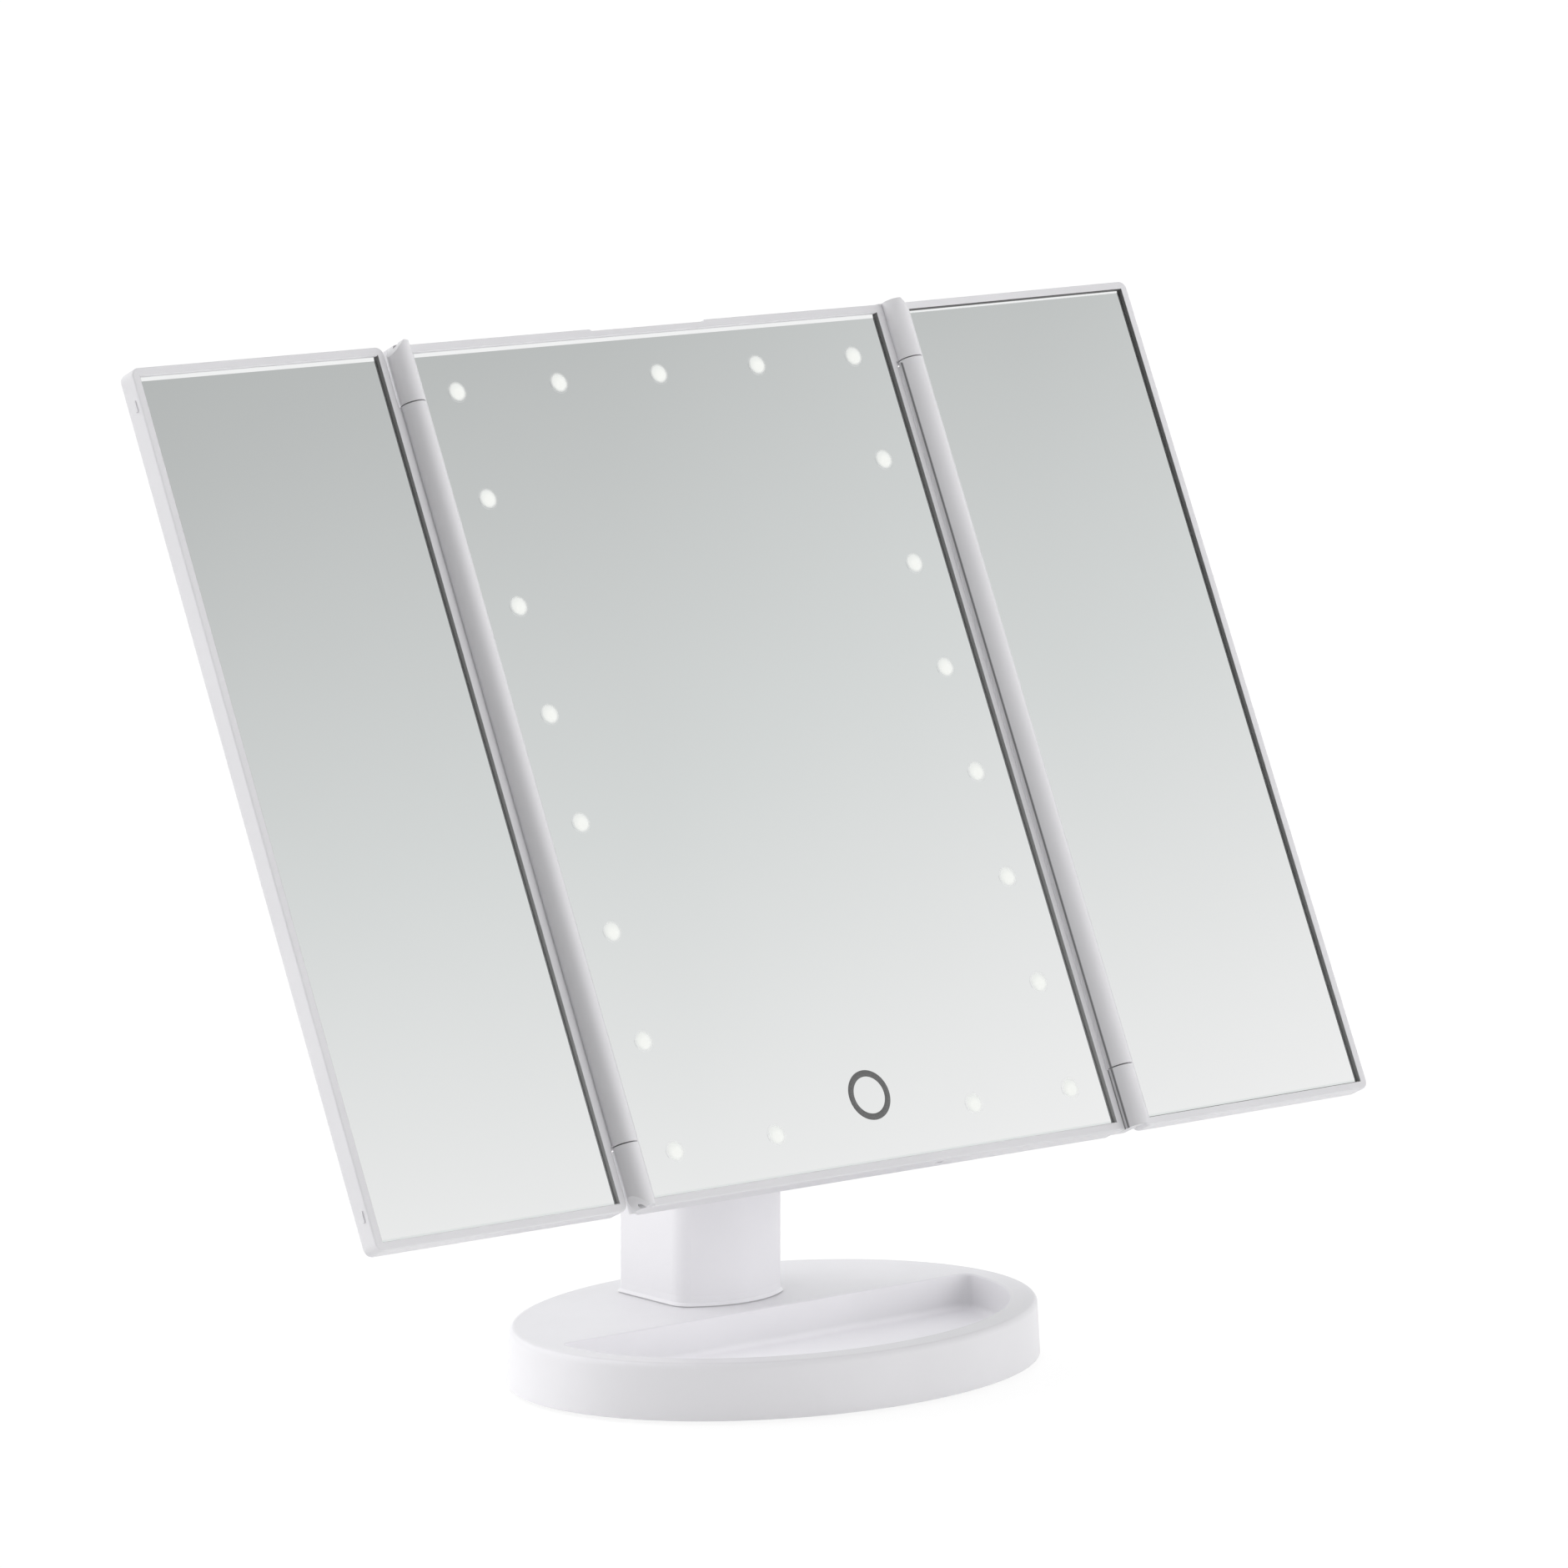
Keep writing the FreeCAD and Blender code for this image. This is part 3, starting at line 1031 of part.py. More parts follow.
def pry_slot():
    """Small slot under the lower edge for opening the casing."""
    x0 = PRY_SLOT_X - PRY_SLOT_WIDTH / 2
    y0 = (PANEL_THICKNESS - PRY_SLOT_HEIGHT) / 2
    return box(x0, x0 + PRY_SLOT_WIDTH, y0, y0 + PRY_SLOT_HEIGHT, -HALF_HEIGHT, PRY_SLOT_DEPTH - HALF_HEIGHT)


def bevelled_plate(x0, x1, tall):
    """A mirror plate between two sides, with a narrow polished bevel round its front."""
    plate = box(x0, x1, GLASS_RECESS, GLASS_BACK, -tall, tall)
    inner = GLASS_BEVEL_WIDTH
    rims = []
    for inset, y in ((0, GLASS_RECESS + GLASS_BEVEL_DEPTH), (inner, GLASS_RECESS)):
        face = Part.makePlane(
            2 * (tall - inset), x1 - x0 - 2 * inset, FreeCAD.Vector(x0 + inset, y, inset - tall), Y_DIR, Z_DIR
        )
        rims.append(face.OuterWire)
    front = Part.makeLoft(rims, True, True)
    body = box(x0, x1, GLASS_RECESS + GLASS_BEVEL_DEPTH, GLASS_BACK, -tall, tall)
    return body.fuse(front).common(plate).removeSplitter()


def centre_glass():
    """Mirror plate of the centre panel."""
    wide = OPENING_HALF_WIDTH - GLASS_CLEARANCE
    return bevelled_plate(-wide, wide, OPENING_HALF_HEIGHT - GLASS_CLEARANCE)


def centre_tape():
    """Adhesive tape behind the centre glass: a border outside the lights and a pad in the middle."""
    wide, tall = OPENING_HALF_WIDTH - GLASS_CLEARANCE * 3, OPENING_HALF_HEIGHT - GLASS_CLEARANCE * 3
    border = box(-wide, wide, GLASS_BACK, FLOOR_FRONT, -tall, tall)
    edge = LIGHT_INSET - LIGHT_BORE / 2 - LIGHT_TUBE_WALL
    inside = box(edge - wide, wide - edge, GLASS_BACK, FLOOR_FRONT, edge - tall, tall - edge)
    pad_x = LIGHT_HALF_X - LIGHT_BORE
    pad_z = LIGHT_HALF_Z - LIGHT_PITCH_Z
    pad = box(-pad_x, pad_x, GLASS_BACK, FLOOR_FRONT, -pad_z, pad_z)
    return Part.makeCompound([border.cut(inside), pad])


def light_diffusers():
    """A round diffuser in the floor's bore at every light."""
    front = FLOOR_FRONT - TAPE_THICKNESS * 0.8
    back = front + DIFFUSER_THICKNESS
    radius = LIGHT_BORE / 2 - DIFFUSER_FIT
    return Part.makeCompound([rod_y(radius, x, front, back, z) for x, z in light_spots()])


def light_strip(name):
    """One circuit strip behind the lights of one edge."""
    x0, x1, z0, z1 = strip_boxes()[name]
    strip = box(x0, x1, STRIP_FRONT, STRIP_BACK, z0, z1)
    hole = STRIP_PIN_DIAMETER / 2 + STRIP_PIN_CLEARANCE
    cuts = [rod_y(hole, x, STRIP_FRONT, STRIP_BACK, z) for x, z in strip_pins(name)]
    if name == "bottom":
        cuts.append(rod_y(TOUCH_BORE / 2, 0, STRIP_FRONT, STRIP_BACK, TOUCH_Z))
    return strip.cut(cuts)


def leds():
    """One light-emitting chip on the strips at every light."""
    chips = []
    half_x, half_z = LED_LENGTH / 2, LED_WIDTH / 2
    front = STRIP_FRONT - LED_HEIGHT
    for x, z in light_spots():
        chips.append(box(x - half_x, x + half_x, front, STRIP_FRONT, z - half_z, z + half_z))
    return Part.makeCompound(chips)


def control_screw_spots():
    """X and Z of the two screws that hold the control board."""
    x = CONTROL_BOARD_WIDTH / 2 - SMALL_BOSS_RADIUS
    return [(-x, TOUCH_Z), (x, TOUCH_Z)]


def control_board():
    """Board behind the touch ring, on the rear cover's pillars."""
    half_x, half_z = CONTROL_BOARD_WIDTH / 2, CONTROL_BOARD_HEIGHT / 2
    board = box(-half_x, half_x, CONTROL_FRONT, CONTROL_BACK, TOUCH_Z - half_z, TOUCH_Z + half_z)
    return board.cut([rod_y(SMALL_PASS, x, CONTROL_FRONT, CONTROL_BACK, z) for x, z in control_screw_spots()])


def control_board_screws():
    """Two screws that hold the control board to the rear cover."""
    length = BOARD_THICKNESS + COVER_INNER - CONTROL_BACK
    spots = control_screw_spots()
    return Part.makeCompound([board_screw(x, CONTROL_FRONT, z, Y_DIR, length) for x, z in spots])


def touch_spring():
    """Coil electrode from the control board to the back of the glass under the touch ring."""
    start = FreeCAD.Vector(0, CONTROL_FRONT, TOUCH_Z)
    length = CONTROL_FRONT - GLASS_BACK
    return coil(TOUCH_SPRING_WIRE, TOUCH_SPRING_DIAMETER, length, TOUCH_SPRING_TURNS, start, -Y_DIR)


# ---- rear cover and switch -----------------------------------------------------------------------
def cover_outline(inset, y):
    """Rectangular outline of the rear cover with rounded corners, inset from the frame's edge."""
    corner = PANEL_CORNER / 2 + inset / 2
    wide, tall = CENTRE_HALF - inset, HALF_HEIGHT - inset
    plate = slab(-wide, wide, y, y + 1, -tall, tall, corner)
    front = min(plate.Faces, key=lambda face: face.CenterOfMass.y)
    return front.OuterWire


def cover_form(wall):
    """The cover's outer form, or its hollow when a wall thickness is given."""
    skirt_end = PANEL_THICKNESS + COVER_SKIRT
    skirt = Part.Face(cover_outline(wall, PANEL_THICKNESS)).extrude(FreeCAD.Vector(0, COVER_SKIRT, 0))
    back = cover_outline(wall + COVER_TAPER, HEAD_DEPTH - wall)
    dish = Part.makeLoft([cover_outline(wall, skirt_end), back], True, True)
    return fuse(skirt, [dish])


def switch_opening():
    """Opening in the cover's back for the switch knob and its travel."""
    half_x = (KNOB_WIDTH + SWITCH_TRAVEL) / 2 + KNOB_CLEARANCE
    half_z = KNOB_HEIGHT / 2 + KNOB_CLEARANCE
    return box(-half_x, half_x, COVER_INNER - 1, HEAD_DEPTH + 1, TOUCH_Z - half_z, TOUCH_Z + half_z)


def rear_cover():
    """Dished cover of the centre panel with a locating lip, bosses, board pillars and the switch opening."""
    shell = cover_form(0).cut(cover_form(COVER_WALL))
    wide = OPENING_HALF_WIDTH - BACK_FIT
    tall = OPENING_HALF_HEIGHT - BACK_FIT
    lip_front = PANEL_THICKNESS - COVER_LIP_HEIGHT
    lip = box(-wide, wide, lip_front, PANEL_THICKNESS + COVER_SKIRT, -tall, tall)
    inner_x, inner_z = wide - COVER_LIP, tall - COVER_LIP
    lip = lip.cut(box(-inner_x, inner_x, lip_front, PANEL_THICKNESS + COVER_SKIRT, -inner_z, inner_z))
    adds = [lip]
    boss_back = HEAD_DEPTH - COVER_WALL / 2
    adds += [rod_y(BOSS_RADIUS, x, PANEL_THICKNESS, boss_back, z) for x, z in cover_screw_spots()]
    adds += [rod_y(SMALL_BOSS_RADIUS, x, CONTROL_BACK, COVER_INNER, z) for x, z in control_screw_spots()]
    yoke_boss = HEAD_DEPTH - (yoke_screw_length() - YOKE_PLATE)
    adds += [rod_y(BOSS_RADIUS, x, yoke_boss, COVER_INNER, z) for x, z in yoke_screw_spots()]
    shell = fuse(shell, adds)
    cuts = [switch_opening(), rod_y(LEAD_HOLE / 2, 0, COVER_INNER - 1, HEAD_DEPTH, 0)]
    for x, z in cover_screw_spots():
        cuts.append(rod_y(SCREW_PASS, x, PANEL_THICKNESS, HEAD_DEPTH, z))
        cuts.append(rod_y(HEAD_POCKET, x, cover_screw_seat(), HEAD_DEPTH, z))
    cuts += [rod_y(SCREW_BORE, x, yoke_boss, HEAD_DEPTH, z) for x, z in yoke_screw_spots()]
    cuts += [rod_y(SMALL_BORE, x, CONTROL_BACK, COVER_INNER, z) for x, z in control_screw_spots()]
    return shell.cut(cuts)


def cover_screw_seat():
    """Depth at which the cover screws' heads sit, sunk below the cover's back."""
    return HEAD_DEPTH - 2 * HEAD_SINK


def rear_cover_screws():
    """Six screws through the cover's bosses into the centre frame."""
    seat = cover_screw_seat()
    length = seat - FLOOR_BACK
    return Part.makeCompound([tapping_screw(x, seat, z, -Y_DIR, length) for x, z in cover_screw_spots()])


def switch_housing():
    """Slide switch body on the control board, slotted behind for the knob's stem."""
    half_x, half_z = SWITCH_BODY_WIDTH / 2, SWITCH_BODY_HEIGHT / 2
    body = box(-half_x, half_x, CONTROL_BACK, SWITCH_BODY_BACK, TOUCH_Z - half_z, TOUCH_Z + half_z)
    slot_x = (KNOB_STEM_WIDTH + SWITCH_TRAVEL) / 2 + KNOB_CLEARANCE
    slot_z = KNOB_STEM_HEIGHT / 2 + KNOB_CLEARANCE
    floor = CONTROL_BACK + SWITCH_WALL / 2
    return body.cut(box(-slot_x, slot_x, floor, SWITCH_BODY_BACK, TOUCH_Z - slot_z, TOUCH_Z + slot_z))


def switch_slider():
    """Knob and stem of the slide switch, at the off end of its travel, with grip grooves across the knob."""
    x = -SWITCH_TRAVEL / 2
    knob_front = COVER_INNER + KNOB_CLEARANCE
    knob_back = HEAD_DEPTH + KNOB_PROUD
    half_x, half_z = KNOB_WIDTH / 2, KNOB_HEIGHT / 2
    knob = box(x - half_x, x + half_x, knob_front, knob_back, TOUCH_Z - half_z, TOUCH_Z + half_z)
    groove = KNOB_WIDTH / 10
    for step in (-1, 0, 1):
        x0 = x + step * KNOB_WIDTH / 4 - groove / 2
        low, high = TOUCH_Z - half_z, TOUCH_Z + half_z
        knob = knob.cut(box(x0, x0 + groove, knob_back - groove, knob_back, low, high))
    stem_x, stem_z = KNOB_STEM_WIDTH / 2, KNOB_STEM_HEIGHT / 2
    stem_front = CONTROL_BACK + SWITCH_WALL / 2 + KNOB_CLEARANCE
    stem = box(x - stem_x, x + stem_x, stem_front, knob_front, TOUCH_Z - stem_z, TOUCH_Z + stem_z)
    return fuse(knob, [stem])


def head_lead():
    """Two leads from the yoke's hole down the inside of the rear cover to the control board."""
    near = LEAD_SPACING / 2
    run_y = COVER_INNER - LEAD_DIAMETER / 2 - BACK_FIT
    end_z = TOUCH_Z + CONTROL_BOARD_HEIGHT / 2 - 2 * LEAD_DIAMETER
    return lead_pair([
        (near, HEAD_DEPTH + YOKE_PLATE, 0),
        (near, run_y, 0),
        (near, run_y, end_z),
        (near, CONTROL_BACK, end_z),
    ])


# ---- side panels, drawn on the right and mirrored for the left -----------------------------------
def snap_spots():
    """Z of the snap lugs along each long wall."""
    return [-HALF_HEIGHT / 2, 0, HALF_HEIGHT / 2]


def side_frame():
    """Bezel of a side panel: rim, floor, long hinge barrel, snap pockets and two nibs on the outer edge."""
    frame = slab(SIDE_INNER, SIDE_OUTER, 0, PANEL_THICKNESS, -HALF_HEIGHT, HALF_HEIGHT, PANEL_CORNER)
    frame = frame.makeFillet(PANEL_FRONT_ROUND, edges_in_plane(frame, "Y", 0))
    frame = frame.makeFillet(PANEL_REAR_ROUND, edges_in_plane(frame, "Y", PANEL_THICKNESS))
    tall = OPENING_HALF_HEIGHT
    x0, x1 = SIDE_INNER + RIM, SIDE_OUTER - RIM
    front = box(x0, x1, -1, FLOOR_FRONT, -tall, tall)
    back = box(x0, x1, FLOOR_BACK, PANEL_THICKNESS + 1, -tall, tall)
    frame = frame.cut([front, back])
    reach = KNUCKLE_START - KNUCKLE_GAP
    barrel = rod_z(BARREL_RADIUS, HINGE_X, -HINGE_RISE, -reach, reach)
    web = box(HINGE_X, SIDE_INNER + RIM / 2, 0, PANEL_THICKNESS - BACK_THICKNESS, -reach, reach)
    nibs = []
    for sign in (-1, 1):
        z = sign * (HALF_HEIGHT - NIB_FROM_END)
        y = PANEL_THICKNESS / 3
        nib = box(SIDE_OUTER - RIM / 2, SIDE_OUTER + NIB_PROUD, y - NIB_WIDTH / 2, y + NIB_WIDTH / 2,
                  z - NIB_LENGTH / 2, z + NIB_LENGTH / 2)
        nibs.append(nib)
    frame = fuse(frame, [barrel, web] + nibs)
    hole = ROD_DIAMETER / 2 + ROD_CLEARANCE
    cuts = [rod_z(hole, HINGE_X, -HINGE_RISE, -HALF_HEIGHT, HALF_HEIGHT)]
    cuts += snap_lugs(BACK_FIT)
    return frame.cut(cuts)


def snap_lugs(grow):
    """Lugs along both long sides of the back, or the pockets for them when grown."""
    depth = SNAP_DEPTH + grow
    half = SNAP_LENGTH / 2 + grow
    y = PANEL_THICKNESS - BACK_THICKNESS / 2
    low, high = y - SNAP_HEIGHT / 2 - grow, y + SNAP_HEIGHT / 2 + grow
    x0, x1 = SIDE_INNER + RIM, SIDE_OUTER - RIM
    lugs = []
    for z in snap_spots():
        lugs.append(box(x0 - depth, x0 + RIM, low, high, z - half, z + half))
        lugs.append(box(x1 - RIM, x1 + depth, low, high, z - half, z + half))
    return lugs


def side_glass():
    """Mirror plate of a side panel."""
    x0, x1 = SIDE_INNER + RIM + GLASS_CLEARANCE, SIDE_OUTER - RIM - GLASS_CLEARANCE
    return bevelled_plate(x0, x1, OPENING_HALF_HEIGHT - GLASS_CLEARANCE)


def side_tape():
    """Two strips of adhesive tape behind a side glass."""
    tall = OPENING_HALF_HEIGHT - GLASS_CLEARANCE * 3
    strips = []
    for x in (SIDE_INNER + RIM + TAPE_WIDTH, SIDE_OUTER - RIM - 2 * TAPE_WIDTH):
        strips.append(box(x, x + TAPE_WIDTH, GLASS_BACK, FLOOR_FRONT, -tall, tall))
    return Part.makeCompound(strips)


def side_back():
    """Back plate of a side panel: snaps into the frame behind the floor and stands on low ribs."""
    tall = OPENING_HALF_HEIGHT - BACK_FIT
    x0, x1 = SIDE_INNER + RIM + BACK_FIT, SIDE_OUTER - RIM - BACK_FIT
    front = PANEL_THICKNESS - BACK_THICKNESS
    plate = box(x0, x1, front, PANEL_THICKNESS, -tall, tall)
    ribs = []
    middle = (x0 + x1) / 2
    for x in (x0 + RIM, middle, x1 - RIM):
        ribs.append(box(x - RIM / 4, x + RIM / 4, FLOOR_BACK, front, -tall, tall))
    return fuse(plate, ribs + snap_lugs(0))


def hinge_rod():
    """Steel rod through one hinge, sunk into the end knuckles."""
    reach = HALF_HEIGHT - ROD_SUNK
    return rod_z(ROD_DIAMETER / 2, HINGE_X, -HINGE_RISE, -reach, reach)


def right_pose(shape):
    """Fold a flat right-hand panel in about its hinge by the angle shown."""
    folded = shape.copy()
    folded.rotate(FreeCAD.Vector(HINGE_X, -HINGE_RISE, 0), Z_DIR, -RIGHT_FOLD_SHOWN)
    return folded


# ---- the whole mirror ----------------------------------------------------------------------------
def stand_nodes():
    """Pieces of the base and column, in place."""
    slots = cell_slots()
    return {
        "base_shell": base_shell(),
        "base_plate": base_plate(),
        "rubber_feet": rubber_feet(),
        "base_screws": base_screws(),
        "column_screws": column_screws(),
        "column_shell": column_shell(),
        "battery_bay": battery_bay(),
        "bay_screws": bay_screws(),
        "battery_door": battery_door(),
        "cell_lower_left": battery_cell(slots[0]),
        "cell_lower_right": battery_cell(slots[1]),
        "cell_upper_left": battery_cell(slots[2]),
        "cell_upper_right": battery_cell(slots[3]),
        "battery_springs": battery_springs(),
        "battery_contacts": battery_contacts(),
        "inlet_board": inlet_board(),
        "inlet_board_screws": inlet_board_screws(),
        "power_socket": power_socket(),
        "column_lead": column_lead(),
        "friction_washers": friction_washers(),
    }


def head_nodes():
    """Pieces of the head, drawn upright."""
    rod = hinge_rod()
    nodes = {
        "tilt_yoke": tilt_yoke(),
        "yoke_screws": yoke_screws(),
        "tilt_axle": tilt_axle(),
        "axle_nut": axle_nut(),
        "yoke_caps": yoke_caps(),
        "rear_cover": rear_cover(),
        "rear_cover_screws": rear_cover_screws(),
        "centre_frame": centre_frame(),
        "centre_glass": centre_glass(),
        "centre_tape": centre_tape(),
        "light_diffusers": light_diffusers(),
        "leds": leds(),
        "control_board": control_board(),
        "control_board_screws": control_board_screws(),
        "touch_spring": touch_spring(),
        "switch_housing": switch_housing(),
        "switch_slider": switch_slider(),
        "head_lead": head_lead(),
        "hinge_rod_left": mirrored(rod),
        "hinge_rod_right": rod,
    }
    for name in strip_boxes():
        nodes["light_strip_" + name] = light_strip(name)
    panel = {"frame": side_frame(), "glass": side_glass(), "tape": side_tape(), "back": side_back()}
    for name, flat in panel.items():
        nodes["left_" + name] = mirrored(flat)
        nodes["right_" + name] = right_pose(flat)
    return nodes


def build():
    """Write every piece as its own file."""
    os.makedirs("parts", exist_ok=True)
    nodes = stand_nodes()
    for name, shape in head_nodes().items():
        nodes[name] = place_head(shape)
    for name, shape in nodes.items():
        shape.exportStep(os.path.join("parts", name + ".step"))


build()
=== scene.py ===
import math

import bmesh
import bpy
import numpy as np
from bpy.props import FloatProperty, FloatVectorProperty, IntProperty, PointerProperty
from mathutils import Matrix, Vector


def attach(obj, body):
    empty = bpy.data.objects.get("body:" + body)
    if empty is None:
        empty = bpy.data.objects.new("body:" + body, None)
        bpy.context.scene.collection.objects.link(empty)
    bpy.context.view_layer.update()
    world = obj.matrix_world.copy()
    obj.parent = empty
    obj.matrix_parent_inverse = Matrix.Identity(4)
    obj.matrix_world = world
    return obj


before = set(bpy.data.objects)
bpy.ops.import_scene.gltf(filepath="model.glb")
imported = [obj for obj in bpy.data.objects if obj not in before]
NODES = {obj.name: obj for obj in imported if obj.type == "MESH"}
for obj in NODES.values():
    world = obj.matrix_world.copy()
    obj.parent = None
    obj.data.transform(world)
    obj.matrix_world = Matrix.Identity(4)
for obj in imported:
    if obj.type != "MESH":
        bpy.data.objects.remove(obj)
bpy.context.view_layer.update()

bl_info = {
    "name": "Trifold Vanity Mirror",
    "version": (1, 0, 0),
    "blender": (4, 5, 0),
    "location": "3D View > Sidebar > Trifold Mirror",
    "description": "Finishes, light windows, touch ring and studio of a lit trifold vanity mirror",
    "category": "Object",
}

MM = 0.001
WELD = 1e-7  # points nearer than this become one, m
GAP = 0.01 * MM  # between an edge band and its neighbours, and the step at a printed edge
CLEARANCE = 0.002 * MM  # between the glass and what lies on it
CAMERA_AZIMUTH = math.radians(-39.70)
CAMERA_ELEVATION = math.radians(8.88)
CAMERA_PLACE = (-1.5365, -1.8544, 0.5369)  # m
LENS = 208.13  # mm
SENSOR = 36.0  # mm


# ---- sizes and colours ----
def length(name, description, default):
    """A length property in metres, from a default in millimetres."""
    return FloatProperty(
        name=name, description=description, default=default * MM, min=0.0, unit="LENGTH", subtype="DISTANCE"
    )


def angle(name, description, default):
    """An angle property, from a default in degrees."""
    return FloatProperty(
        name=name, description=description, default=math.radians(default), subtype="ANGLE", unit="ROTATION"
    )


def count(name, description, default):
    """A property for a number of things."""
    return IntProperty(name=name, description=description, default=default, min=2)


def colour(name, description, default):
    """A linear colour property."""
    return FloatVectorProperty(
        name=name, description=description, default=default, size=3, min=0.0, max=1.0, subtype="COLOR"
    )


def level(name, description, default):
    """A property for a level of light."""
    return FloatProperty(name=name, description=description, default=default, min=0.0)


def number_row(name, description, default):
    """A property for a row of numbers."""
    return FloatVectorProperty(name=name, description=description, default=default, size=len(default))


class HeadSizes(bpy.types.PropertyGroup):
    """Where the head's flat faces lie, and the sizes of what is printed on the glass or stands round it."""

    lean: angle("Lean", "The head leans back by this much", 25.5)
    axis_y: length("Tilt axis depth", "Tilt axis behind the middle of the base", 30.1)
    axis_z: length("Tilt axis height", "Tilt axis above the table", 158.7)
    face_to_axis: length("Face to axis", "Rim's front plane ahead of the tilt axis", 30.5)
    fold: angle("Right fold", "The right panel is folded in by this much", 1.4)
    hinge_x: length("Hinge distance", "Panel hinges from the middle", 86.5)
    parting: length("Knuckle parting", "Height of the top knuckle's lower end over the head's middle", 103.3)
    hinge_rise: length("Hinge rise", "Panel hinge axes ahead of the rim's front plane", 1.3)
    glass_depth: length("Glass depth", "Glass front behind the rim's front plane", 1.15)
    opening_x: length("Centre opening", "Half the width of the centre panel's opening", 80.8)
    opening_z: length("Opening height", "Half the height of each panel's opening", 118.2)
    side_inner: length("Side opening, inner", "Side panel opening's inner edge from the middle", 92.4)
    side_outer: length("Side opening, outer", "Side panel opening's outer edge from the middle", 169.9)
    band_thickness: length("Edge band", "Thickness of the band round each glass", 0.2)
    bevel_width: length("Bevel width", "Width of the polished bevels", 1.15)
    bevel_rise: length("Bevel rise", "Height of the polished bevels at the rim", 0.115)
    window_diameter: length("Light window", "Diameter of each frosted light window", 6.2)
    window_x: length("Light columns", "Outer columns of light windows from the middle", 69.0)
    window_z: length("Light rows", "Outer rows of light windows from the middle", 106.4)
    window_columns: count("Columns", "Light windows along the top", 5)
    window_rows: count("Rows", "Light windows down each side", 8)
    print_thickness: length("Print thickness", "Thickness of the windows and of the touch ring", 0.03)
    ring_outer: length("Touch ring, outer", "Outer diameter of the touch ring", 13.9)
    ring_inner: length("Touch ring, inner", "Inner diameter of the touch ring", 10.3)
    ring_drop: length("Touch ring drop", "Touch ring's centre below the middle of the head", 99.7)


class PlasticColours(bpy.types.PropertyGroup):
    """Colours of the moulded parts, and where painted shade and painted light lie on the base's white."""

    white: colour("White plastic", "Glossy white shells and panels", (0.822, 0.815, 0.838))
    white_shade: colour("White, shade", "Deeper tone that drifts over the white", (0.800, 0.794, 0.816))
    inner: colour("Inner plastic", "Satin white of the hidden mouldings", (0.70, 0.71, 0.72))
    diffuser: colour("Diffuser", "Milky light diffusers", (0.86, 0.87, 0.85))
    knob: colour("Switch knob", "Slide switch knob", (0.16, 0.16, 0.17))
    rubber: colour("Rubber", "Rubber feet", (0.10, 0.10, 0.105))
    rim_height: length("Rim height", "Height of the base's flat rim", 16.3)
    tray_height: length("Tray height", "Height of the tray's floor", 6.5)
    oval_half: number_row("Oval", "Half width and half depth of the base, in metres", (0.0798, 0.0601))


class GlassColours(bpy.types.PropertyGroup):
    """Colours of the mirror plates and of what is printed on them."""

    silver: colour("Silver", "Reflective coating seen through clear glass", (0.910, 0.914, 0.913))
    # The grey of both edge bands is partly painted shade of the recess wall round the glass; the right glass's
    # darker band is painted shade.
    band: colour("Glass edge", "Ground edge of the left and centre glass", (0.25, 0.25, 0.25))
    deep_band: colour("Shaded glass edge", "Ground edge of the right glass, in shade", (0.17, 0.17, 0.17))
    window: colour("Light window", "Frosted light window", (0.84, 0.86, 0.835))
    # The window's brighter spot is painted light on top of its lamp's glow.
    window_glow_and_painted_light: colour("Light window core", "Brighter spot over each light", (0.93, 0.945, 0.91))
    ring: colour("Touch ring", "Printed ring of the touch control", (0.125, 0.125, 0.125))


class StageLevels(bpy.types.PropertyGroup):
    """Levels of the plain studio round the object."""

    low_boxes: number_row("Low soft boxes", "Eight soft boxes near the table's height, from +X round by +Y",
                          (0.05, 0.74, 0.82, 1.97, 0.55, 0.03, 1.55, 2.36))
    high_boxes: number_row("High soft boxes", "Four soft boxes half way up, from +X +Y round by -X +Y",
                           (1.24, 1.68, 0.0, 0.0))
    gloss_side: level("Dim side in gloss", "Part of the level that gloss sees on the dim side", 0.5)
    low_sky: level("Low sky", "Level that mirrors see near the horizon", 1.0)
    dusk: level("Grey sky", "Level that mirrors see in the grey band", 0.55)
    floor: colour("Floor", "Colour of the pale floor", (0.88, 0.88, 0.88))


# ---- placing ----
def head_points(points):
    """Head points in the frame.

    A point is given as metres to the right, metres behind the rim's front plane and metres above the middle.
    It is moved so that the tilt axis is the origin, turned about X by the lean, and lifted onto the axis.
    """
    sizes = bpy.context.scene.trifold_head
    x = points[..., 0]
    y = points[..., 1] - sizes.face_to_axis
    z = points[..., 2]
    cosine = math.cos(sizes.lean)
    sine = math.sin(sizes.lean)
    return np.stack([x, y * cosine + z * sine + sizes.axis_y, z * cosine - y * sine + sizes.axis_z], axis=-1)


def right_panel_points(points):
    """Points of the right panel as they are folded in: turned about its hinge axis, which runs along Z."""
    sizes = bpy.context.scene.trifold_head
    cosine = math.cos(sizes.fold)
    sine = math.sin(sizes.fold)
    x = points[..., 0] - sizes.hinge_x
    y = points[..., 1] + sizes.hinge_rise
    turned = np.stack([x * cosine + y * sine, y * cosine - x * sine, points[..., 2]], axis=-1)
    return turned + np.array([sizes.hinge_x, -sizes.hinge_rise, 0.0])


def mirrored(points):
    """Points of the right side carried to the left side."""
    return points * np.array([-1.0, 1.0, 1.0])


